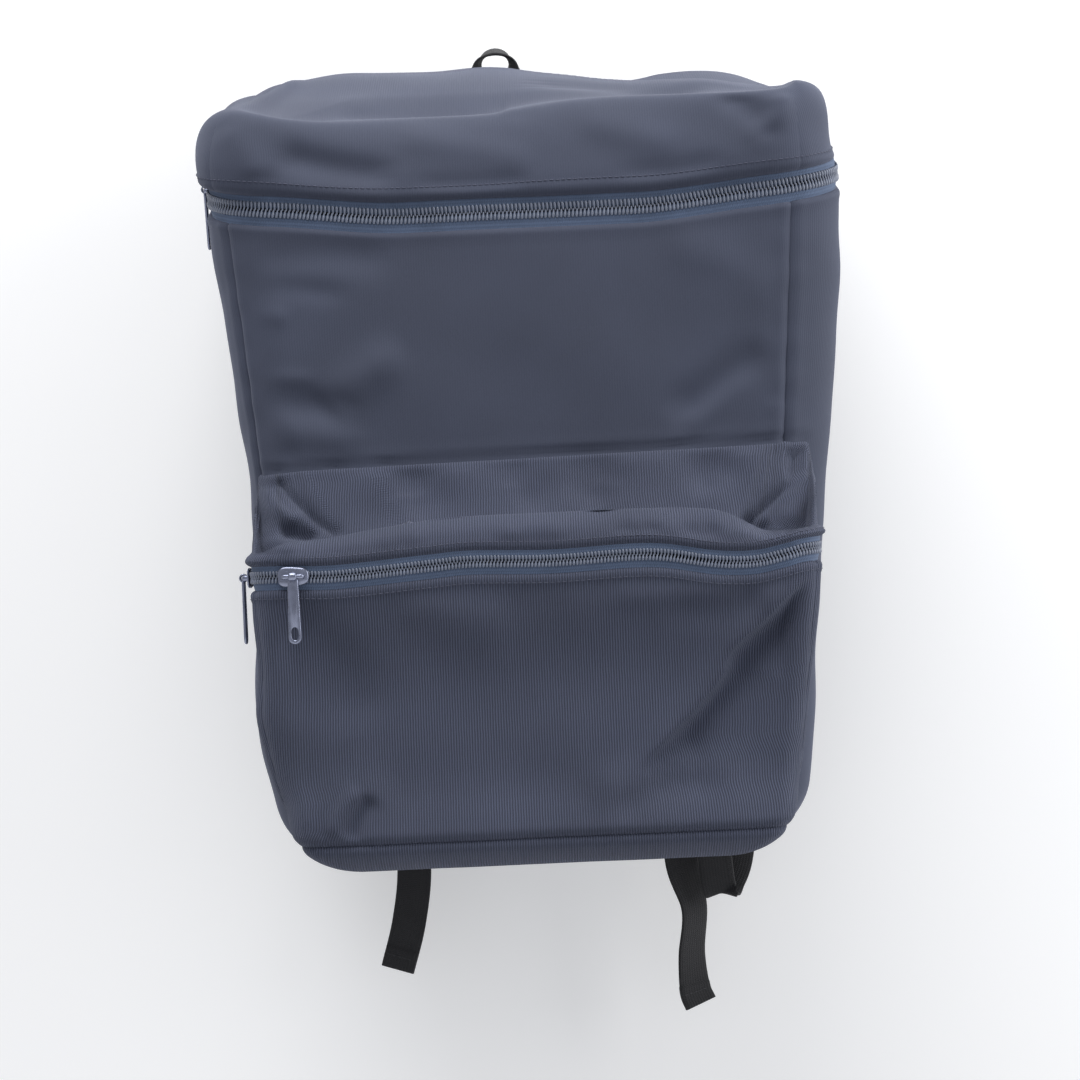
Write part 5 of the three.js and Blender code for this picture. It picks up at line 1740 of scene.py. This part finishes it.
@dataclass
class Slider:
    """A zip's slider and its pull, in a frame of their own.

    The bar that the pull hangs on runs through the origin along X, with the zip. Y points into the bag.

    Args:
        name: the first words of its CAD nodes and joints.
        head: the way that its wide end points along X.
    """

    name: str
    head: int
    length: float = 15.5
    wide: float = 11.0
    narrow: float = 8.4
    power: float = 3.4
    plate: float = 2.55
    chain: float = 5.65
    pull_length: float = 34.0
    pull_top: float = 2.7
    pull_foot: float = 3.35
    bend: float = 1.75
    hole: tuple = (1.75, 3.2, -28.7)

    def frame(self) -> tuple[Array, Array]:
        """The middle of the pull's bar, and the slider's own axes as rows."""
        swing = next(j for j in frame["joints"] if j["name"] == f"{self.name}_pull_swing")
        along = -unit(np.array(swing["axis"], float))
        inward = unit(np.cross((0.0, 0.0, 1.0), along))
        return (np.array(swing["pos_m"]) - ORIGIN) / MM, np.stack([along, inward, np.cross(along, inward)])

    def shield(self, count: int = 40) -> Array:
        """The plates' outline, |x|^3.4 + |z|^3.4 = 1 stretched to their length and their widths."""
        turn = np.arange(count) * TURN / count
        c, s = np.cos(turn), np.sin(turn)
        x, z = (np.sign(value) * np.abs(value) ** (2 / self.power) for value in (c, s))
        width = (self.narrow + (self.wide - self.narrow) * (x + 1) / 2) / 2
        return joined(self.head * x * self.length / 2, width * z)

    def body_shells(self) -> list[Shell]:
        """The domed outer plate, the inner plate, the rails between them, the post and the arched bail."""
        plate, depth = self.plate, self.chain - self.plate
        dome = ((0.5, 1.2), (0, 1.0), (0, 0.5), (0.7, 0.1), (2.4, -0.15))
        outer = slab(self.shield(), [(inset, plate + height) for inset, height in dome])
        low = 2 * self.chain - plate
        inner = slab(self.shield(), ((0.9, low), (0.2, low - 0.3), (0, low - 0.8), (0.5, low - 1.2)))
        x = np.linspace(-0.36, 0.36, 8) * self.length
        half = (self.narrow + (self.wide - self.narrow) * (self.head * x / self.length + 0.5)) / 2
        rails = []
        for side in (-1, 1):
            z = side * (half - 0.7)
            for y in (plate + 1.4, low - 1.4):
                line = joined(x, y, z)
                rails.append(swept(padded_section(10), line, (0, 0, 1), (1.1, 1.7)))
        diamond = np.array([[2.0, 0], [0, 0.8], [-2.0, 0], [0, -0.8]])
        diamond = diamond + (self.head * (self.length / 2 - 2.6), 0)
        post = slab(diamond, ((0, plate + 0.6), (0, plate + 2 * depth - 0.6)))
        leg = np.array([(-5.2, plate + 0.5, 0), (-5.0, 1.3, 0), (-3.9, 0.25, 0)])
        arch = through(np.vstack([leg, np.zeros((1, 3)), (leg * (-1, 1, 1))[::-1]]), 26)
        taper = 1 + 0.25 * rise(np.abs(arch[:, 0]), 3.0, 5.2)
        bail = swept(padded_section(12), arch, (0, 0, 1), joined(2.1 * taper, 1.5 * taper))
        return [outer, inner, *rails, post, bail]

    def pull_shells(self) -> list[Shell]:
        """The tongue with its oval hole and rounded edges, and the ring round the bar."""
        foot, end = self.pull_foot, self.pull_foot - self.pull_length
        down = np.linspace(0, 1, 14, endpoint=False)
        half = self.pull_top + (foot - self.pull_top) * down
        z = -1.3 + (end + 1.3) * down
        turn = np.linspace(0, math.pi, 17)
        edge = np.concatenate(
            [
                joined(half, z),
                joined(foot * np.cos(turn), end - foot * np.sin(turn)),
                joined(-half, z)[::-1],
                joined(np.linspace(-0.6, 0.6, 4) * self.pull_top, -1.1),
            ]
        )
        along = np.roll(edge, -1, axis=0) - np.roll(edge, 1, axis=0)
        out = unit(joined(-along[:, 1], along[:, 0]))
        a, b, centre = self.hole
        spoke = edge - (0.0, centre)
        reach = (np.abs(spoke[:, 0] / a) ** 2.4 + np.abs(spoke[:, 1] / b) ** 2.4) ** (-1 / 2.4)
        hole = spoke * reach[:, None] + (0.0, centre)
        wider = spoke * (reach * (1 + 0.6 / np.hypot(a, b)))[:, None] + (0.0, centre)
        near, far = edge - out * 0.15, edge - out * 0.55
        front = [(near, -0.5), (far, -0.8), (wider, -0.8), (hole, -0.5)]
        levels = [(edge, 0.0), *front, *((flat, -y) for flat, y in front[::-1])]
        rings = [joined(flat[:, 0], y, flat[:, 1]) for flat, y in levels]
        tongue = loft(np.array(rings), closed=True)
        turn = np.linspace(0, TURN, 22, endpoint=False)
        circle = self.bend * joined(0.0, np.cos(turn), np.sin(turn))
        ring = swept(padded_section(12), circle, (1, 0, 0), (4.2, 1.1), closed=True)
        return [tongue, ring]

    def build(self) -> None:
        """Makes and dresses the slider and its pull."""
        place, axes = self.frame()
        for part, shells in (("slider", self.body_shells()), ("pull", self.pull_shells())):
            name = f"{self.name}_{part}"
            piece = shell_object(f"{name}_cast", *(shell.moved(place, axes) for shell in shells))
            finished(piece, f"{name}_body", METAL, "slider_metal", name)


# Straps and webbing


def on_back(name: str, body: str, finish: Finish, slot: str, *shells: Shell) -> Object:
    """One dressed piece of several shells that rides on a body and hides the node of its name, which it
    replaces.
    """
    return finished(shell_object(f"{name}_made", *shells), body, finish, slot, name)


@dataclass
class GrabLoop:
    """The loop of webbing that the bag hangs by, flat at its feet and turned a quarter at its crown."""

    shift: float = -9.5
    foot_x: float = 16.5
    foot: float = 370.0
    radius: float = 9.5
    arc_height: float = 443.5
    face: float = 4.2
    tilt: float = 0.36

    def line(self, t: Array) -> tuple[Array, Array]:
        """The middle of the webbing and the direction of its width, from one foot to the other."""
        leg = self.arc_height - self.foot
        half = leg + self.radius * math.pi / 2
        share = 1 - np.abs(2 * t - 1)
        side = np.where(t < 0.5, -1.0, 1.0)
        turn = math.pi / 2 * rise(share, 0.12, 1.0) ** 1.9
        past = np.clip(share * half - leg, 0, None) / self.radius
        narrowed = rise(share * half / leg, 0.1, 1.0)
        x = self.foot_x + (self.radius - self.foot_x) * narrowed
        x = self.shift + side * np.where(past > 0, self.radius * np.cos(past), x)
        y = self.face + 10.0 * np.sin(turn)
        z = self.foot + np.minimum(share * half, leg) + self.radius * np.sin(past)
        across = joined(-side * np.cos(turn), np.sin(turn), self.tilt * np.sin(turn) ** 3)
        return joined(x, y, z), across

    def build(self) -> None:
        """Makes the loop."""
        line, across = self.line(np.linspace(0, 1, 121))
        piece = shell_object("grab_loop_webbing", swept(flat_section(20, 1.8), line, across))
        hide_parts("grab_loop")
        dress(piece, WEBBING)
        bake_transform(piece)


@dataclass
class BackTrim:
    """What is sewn on the wearer's side: the pad, the yoke and the two corner wings."""

    pad_width: float = 64.0
    pad_low: float = 60.0
    pad_high: float = 345.0
    yoke_width: float = 190.0
    yoke_top: float = 386.0
    yoke_height: float = 30.0
    wing_low: float = 16.0
    wing_height: float = 54.0
    wing_reach: float = 34.0

    def make_pad(self) -> None:
        """Makes the quilted pad of spacer mesh, with a binding round it."""
        z = edged(self.pad_low, self.pad_high, 3.0)
        end = np.minimum(z - self.pad_low, self.pad_high - z)
        round_in = np.clip(1 - end / 14, 0, 1)
        width = self.pad_width - 28 * (1 - np.sqrt(1 - round_in**2 * 0.98))
        quilt = sum(bell(z, place, 2.6) for place in np.linspace(self.pad_low, self.pad_high, 7)[1:-1])
        thick = 1.6 + 5.2 * (1 - np.exp(-end / 5)) * (1 - 0.45 * quilt)
        line = joined(0.0, 1.2 + thick / 2, z)
        pad = swept(padded_section(48, 3.2), line, (1, 0, 0), joined(width, thick))
        piece = on_back("back_pad", "bag", MESH, "mesh_cloth", pad)
        side = joined(width / 2 - 0.4, z)
        loop = np.vstack([side, (side * (-1, 1))[::-1]])
        loop = joined(loop[:, 0], 2.0, loop[:, 1])
        bound = swept(padded_section(12), loop, OUT_OF_BACK, (3.4, 3.4), closed=True)
        finished(shell_object("pad_binding", bound), "bag", BINDING, "mesh_cloth")

    def make_yoke(self) -> None:
        """Makes the yoke that the straps' upper ends are sewn to."""
        x = np.linspace(-0.5, 0.5, 90) * self.yoke_width
        middle = self.yoke_top - self.yoke_height / 2
        line = joined(x, 1.7 + 0.25 * ripple(x, x, 50, seed=71), middle)
        yoke = swept(flat_section(self.yoke_height, 2.5), line, (0, 0, 1))
        on_back("strap_yoke", "bag", CLOTH, "body_cloth", yoke)
        for name, way in (("high", 1), ("low", -1)):
            row = line + (0.0, 1.3, way * (self.yoke_height / 2 - 3.0))
            stitches(f"yoke_thread_{name}", row, OUT_OF_BACK, "bag")

    def make_wing(self, name: str, side: int) -> None:
        """Makes the wing that the lower webbing is sewn to."""
        corner = FORM.half_width(np.array(self.wing_low + self.wing_height / 2)) - 7.0
        reach = corner - self.wing_reach
        high = self.wing_low + self.wing_height
        low = self.wing_low
        knots = np.array([[corner - 7, low], [corner, high], [reach, low + 36], [reach, low]])
        share = np.linspace(0, 1, 9, endpoint=False)[:, None]
        outline = [a + (b - a) * share for a, b in zip(knots, np.roll(knots, -1, axis=0))]
        outline = np.vstack(outline) * (side, 1)
        plate = slab(outline, ((0.7, 0.3), (0, 0.8), (0, 2.4), (0.5, 2.9), (1.2, 3.1)))
        on_back(f"wing_{name}", "bag", CLOTH, "body_cloth", plate)
        inner = knots.mean(0) + (knots - knots.mean(0)) * 0.82
        row = np.vstack([a + (b - a) * share for a, b in zip(inner[:3], inner[1:])]) * (side, 1)
        row = joined(row[:, 0], 3.2, row[:, 1])
        stitches(f"wing_thread_{name}", row, OUT_OF_BACK, "bag")

    def build(self) -> None:
        """Makes the pad, the yoke and both wings."""
        self.make_pad()
        self.make_yoke()
        for name, side in SIDES:
            self.make_wing(name, side)


@dataclass
class Strap:
    """One padded shoulder strap with its webbing loop, ladder lock, tail and lower webbing.

    Args:
        name: left or right.
        side: -1 at the left and 1 at the right.
        tail: the places that the tail runs through, in X, Y and Z, for the right side.
        twist: how far the tail has turned about its length, in degrees, at shares of its length.
        slack: how far the lower webbing hangs below the base.
        bars: the lock's bars, each with its Z, its height and depth, its Y, its bow and half its length.
    """

    name: str
    side: int
    tail: tuple
    twist: tuple
    slack: float
    thickness: float = 11.0
    webbing: float = 20.0
    weave: float = 1.8
    lock_x: float = 82.0
    lock_y: float = 8.6
    lock_z: float = 58.0
    bars: tuple = (
        (0.0, (2.9, 2.9), 0.0, 0.0, 12.4),
        (-6.2, (3.6, 2.6), 0.0, 0.0, 12.0),
        (-14.2, (3.8, 2.8), 0.01, 0.5, 12.0),
        (-18.6, (2.6, 2.4), 1.0, 0.5, 12.6),
    )

    @property
    def lock(self) -> Array:
        """The middle of the lock's round bar."""
        return np.array([self.side * self.lock_x, self.lock_y, self.lock_z])

    def centre(self, t: Array) -> Array:
        """The strap's middle: a bow outwards and away from the back, sin(pi t), between its two ends."""
        bow = np.sin(math.pi * t)
        x = 64 + 18 * t + 14 * bow
        y = self.lock_y + 26 * bow - 3.2 * (1 - rise(t, 0, 0.07))
        return joined(self.side * x, y, 376 - 310 * t)

    def sizes(self, t: Array) -> Array:
        """The strap's width and thickness, which is thin where it is sewn at both ends."""
        width = 50 + 10 * rise(t, 0, 0.3)
        width = width + (30 - width) * rise(t, 0.72, 1)
        thick = 3.6 + (self.thickness - 3.6) * rise(t, 0, 0.08) * rise(1 - t, 0, 0.07)
        return joined(width, thick)

    def make_pad(self) -> None:
        """Makes the padded strap, its bound edges and the stitches inside them."""
        t = np.linspace(0, 1, 150)
        line, sizes = self.centre(t), self.sizes(t)
        sizes[:, 1] += 0.35 * ripple(t * 300, t, 40, 80 + self.side)
        body = f"strap_{self.name}"
        pad = swept(padded_section(44), line, (-1, 0, 0), sizes)
        piece = on_back(f"shoulder_strap_{self.name}", body, CLOTH, "strap_cloth", pad)
        wide, out = ribbon(line, (-1, 0, 0))
        edges, rows = [], []
        for way in (-1, 1):
            edge = line + way * wide * (sizes[:, :1] / 2 - 0.7)
            edges.append(swept(padded_section(12), edge, (-1, 0, 0), (3.4, 4.2)))
            inner = 1 - 11.0 / sizes[:, :1]
            height = sizes[:, 1:] / 2 * (1 - inner**2.6) ** (1 / 2.6)
            rows.append((line + way * wide * inner * sizes[:, :1] / 2 + out * height, out))
        bound = shell_object(f"strap_binding_{self.name}", *edges)
        finished(bound, body, BINDING, "strap_cloth")
        for number, (row, away) in enumerate(rows):
            name = f"strap_thread_{self.name}_{number}"
            stitches(name, row[3:-3], away[3:-3], body, THREAD, "strap_cloth")

    def make_loop(self) -> None:
        """Makes the webbing at the strap's end, which passes under the lock's round bar."""
        turn = np.linspace(0, math.pi, 15)
        bar, room = 1.5, 0.3
        radius = bar + room + self.weave / 2
        leg = np.linspace(12, 1, 6)
        y = np.concatenate([np.full(6, radius), radius * np.cos(turn), np.full(6, -radius)])
        z = np.concatenate([leg, -radius * np.sin(turn), leg[::-1]])
        y = y * (1 - 0.35 * rise(z, 6, 12))
        line = self.lock + joined(0.0, y, z)
        webbing = swept(flat_section(self.webbing, self.weave), line, (1, 0, 0))
        on_back(f"strap_loop_{self.name}", f"strap_{self.name}", WEBBING, "webbing", webbing)

    def make_lock(self) -> None:
        """Makes the moulded ladder lock: two rails, a round bar, two flat bars and a thumb lip."""
        shells = []
        for way in (-1, 1):
            z = np.linspace(1.6, -19.6, 14)
            x = way * (11.9 - 0.5 * np.sin(np.linspace(0, math.pi, 14)))
            rail = self.lock + joined(x, 0.7 * rise(-z, 12, 20), z)
            shells.append(swept(padded_section(16, 3.4), rail, (1, 0, 0), (3.1, 3.3)))
        for z, size, y, bow, half in self.bars:
            x = np.linspace(-half, half, 12)
            bar = joined(x, y + bow * (1 - (x / half) ** 2), z)
            shells.append(swept(padded_section(16, 3.0), self.lock + bar, (0, 0, 1), size))
        on_back(f"ladder_lock_{self.name}", f"lock_{self.name}", PLASTIC, "lock_plastic", *shells)

    def make_tail(self) -> None:
        """Makes the free end of the webbing with its folded and sewn hem."""
        line = through(self.tail, 90) * (self.side, 1, 1)
        length = np.concatenate([[0], np.cumsum(np.linalg.norm(np.diff(line, axis=0), axis=1))])
        turn = np.radians(amount(length / length[-1], self.twist))
        across = joined(np.cos(turn), np.sin(turn), 0.0)
        hem = rise(length, length[-1] - 12.6, length[-1] - 12.0)
        sizes = joined(1.0, 1 + 0.95 * hem)
        body = f"tail_{self.name}"
        webbing = swept(flat_section(self.webbing, self.weave), line, across, sizes)
        piece = on_back(f"strap_tail_{self.name}", body, WEBBING, "webbing", webbing)
        wide, out = ribbon(line, across)
        at = int(np.searchsorted(length, length[-1] - 8.5))
        row = line[at] + np.linspace(-8.5, 8.5, 9)[:, None] * wide[at]
        for way in (-1, 1):
            away = way * out[at]
            name = f"tail_thread_{self.name}_{way}"
            stitches(name, row + away * 1.8, away, body, BLACK_THREAD, "webbing")

    def make_lower(self) -> None:
        """Makes the webbing from the wing down, round and up to the lock."""
        top = 43.0
        sewn = float(FORM.half_width(np.array(top))) - 28.0
        low, lock = -self.slack, self.lock_z - 10.2
        knots = (
            (sewn, 4.3, top),
            (sewn, 5.0, 16),
            (sewn - 4, 12.8, (16 + 2 * low) / 3),
            (sewn - 10, 12.0, low + 5),
            (sewn - 13, 8.4, low),
            (sewn - 16, 5.2, low + 5),
            (0.4 * sewn + 0.6 * self.lock_x, 4.8, (low + lock) / 2),
            (self.lock_x + 1, 4.8, lock - 9),
            (self.lock_x, 5.0, lock - 3),
            (self.lock_x, 7.0, lock - 0.2),
            (self.lock_x, 10.1, lock),
        )
        line = through(knots, 111) * (self.side, 1, 1)
        lowest, node = 44, f"lower_webbing_{self.name}"
        section = flat_section(self.webbing, self.weave)
        sewn_part = shell_object(f"{node}_sewn", swept(section, line[: lowest + 1], (1, 0, 0)))
        finished(sewn_part, "bag", WEBBING, "webbing")
        piece = shell_object(f"{node}_made", swept(section, line[lowest:], (1, 0, 0)))
        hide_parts(node)
        dress(piece, WEBBING)
        x = self.side * self.lock_x
        start, end = placed((x, 5, low + 1)), placed((x, 5, lock - 3))
        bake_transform(piece)

    def build(self) -> None:
        """Makes and dresses the strap and all that hangs on it."""
        self.make_pad()
        self.make_loop()
        self.make_lock()
        self.make_tail()
        self.make_lower()


# Camera, light and backdrop


@dataclass(frozen=True)
class Studio:
    """A pale wall behind the bag, a pale floor, soft lamps and the camera."""

    camera_back: float = 1340.0
    camera_height: float = 165.0
    focal_pixels: float = 2302.0
    frame_pixels: float = 1080.0
    aside_pixels: float = 8.0
    roll: float = 2.5
    wall_behind: float = 58.0
    floor_drop: float = 620.0
    span: float = 3000.0
    sky: tuple = (0.93, 0.95, 1.0, 1.0)
    sky_strength: float = 0.5
    lamps: tuple = (
        ("key", (-350, -800, 2200), 1.5, 47.0),
        ("fill", (1900, -450, 800), 1.6, 32.0),
        ("rear", (300, 1700, 1100), 1.6, 16.0),
    )

    def make_camera(self) -> None:
        """Makes the camera, level at the bag's lower half and turned a little about its own axis."""
        data = bpy.data.cameras.new("camera")
        data.sensor_width = sensor = 36.0
        data.lens = sensor * self.focal_pixels / self.frame_pixels
        data.clip_start, data.clip_end = 0.01, 50.0
        camera = bpy.data.objects.new("camera", data)
        bpy.context.scene.collection.objects.link(camera)
        c, s = math.cos(math.radians(self.roll)), math.sin(math.radians(self.roll))
        turned = Matrix(((c, s, 0), (0, 0, -1), (-s, c, 0))).to_4x4()
        aside = Matrix.Rotation(-math.atan(self.aside_pixels / self.focal_pixels), 4, "Z")
        place = placed((0, -self.camera_back, self.camera_height))
        camera.matrix_world = Matrix.Translation(place) @ aside @ turned
        bpy.context.scene.camera = camera

    def make_stage(self) -> None:
        """Makes the wall, which is see-through from behind, and the floor."""
        shader = Shader("pale_wall")
        cloud = shader.noise(shader.solid_place(), 3.0, 2)
        shader.set(
            Base_Color=shader.mixed(cloud, (0.86, 0.865, 0.87), (0.90, 0.90, 0.90)),
            Roughness=0.9,
            Specular_IOR_Level=0.1,
            Emission_Color=(1.0, 0.995, 0.985, 1.0),
            Emission_Strength=0.24,
        )
        clear = shader.node("ShaderNodeBsdfTransparent")
        behind = shader.node("ShaderNodeNewGeometry").outputs["Backfacing"]
        inputs = {0: behind, 1: shader.surface.outputs["BSDF"], 2: clear.outputs[0]}
        mixed = shader.node("ShaderNodeMixShader", inputs=inputs)
        shader.link(mixed.outputs[0], shader.output.inputs["Surface"])
        span, back, low = self.span, self.wall_behind, -self.floor_drop
        planes = {
            "wall": [(-span, back, low), (span, back, low), (span, back, span), (-span, back, span)],
            "floor": [(-span, -span, low), (span, -span, low), (span, back, low), (-span, back, low)],
        }
        for name, corners in planes.items():
            plane = mesh_object(name, np.array(corners), [[0, 1, 2, 3]])
            plane.data.materials.append(shader.material)
            plane.visible_shadow = plane.visible_diffuse = False

    def make_lamp(self, name: str, place: Sequence[float], size: float, power: float) -> None:
        """Makes a square soft lamp that looks at the bag's middle.

        Args:
            name: the lamp's name.
            place: where it is, in the bag's millimetres.
            size: its side, in metres.
            power: its power in watts.
        """
        data = bpy.data.lights.new(name, "AREA")
        data.shape, data.size, data.energy = "SQUARE", size, power
        lamp = bpy.data.objects.new(name, data)
        bpy.context.scene.collection.objects.link(lamp)
        at = placed(place)
        aim = placed((0, -60, 230)) - at
        back = -unit(aim)
        right = unit(np.cross((0.0, 0.0, 1.0), back))
        turned = np.stack([right, np.cross(back, right), back], axis=1)
        lamp.matrix_world = Matrix.Translation(at) @ Matrix(turned.tolist()).to_4x4()

    def make_lights(self) -> None:
        """Makes the sky and the lamps."""
        world = bpy.data.worlds.new("soft_sky")
        world.use_nodes = True
        ground = world.node_tree.nodes["Background"]
        ground.inputs["Color"].default_value = self.sky
        ground.inputs["Strength"].default_value = self.sky_strength
        bpy.context.scene.world = world
        for lamp in self.lamps:
            self.make_lamp(*lamp)
        bpy.context.scene.view_settings.view_transform = "Standard"

    def build(self) -> None:
        """Makes the studio."""
        self.make_camera()
        self.make_stage()
        self.make_lights()


def main() -> None:
    """Builds the camera and the bag's sub-assemblies in order."""
    logging.basicConfig(level=logging.INFO, format="%(name)s: %(message)s")
    Studio().build()
    pocket = Pocket()
    left = (
        (82, 10.9, 49), (80, 12, 14), (77.5, 13.5, -24), (82, 15, -56), (90, 17, -84),
    )
    right = (
        (82, 10.9, 49), (80, 12, 12), (79.6, 13, -27), (86, 14.5, -55), (83.5, 16, -82),
        (84.5, 17, -103), (87.5, 17, -112),
    )
    parts = (
        Body(),
        Lid(),
        pocket,
        Zip("main_zip", FORM.zip_at, FORM.body, "lid", (11.5, 11.0)),
        Zip("pocket_zip", pocket.zip_line, pocket.wall, "pocket_flap", (10.5, 9.0), 1.75, 3.4, 1.6),
        Slider("main_front", head=-1),
        Slider("main_rear", head=1),
        Slider("pocket_front", head=-1),
        Slider("pocket_side", head=1),
        GrabLoop(),
        BackTrim(),
        Strap("left", -1, left, ((0, 0), (0.5, 0), (1, -8)), 14.0),
        Strap("right", 1, right, ((0, 0), (0.4, 4), (0.63, 38), (0.82, 36), (1, 16)), 45.0),
    )
    for part in parts:
        part.build()


if __name__ == "__main__":
    main()
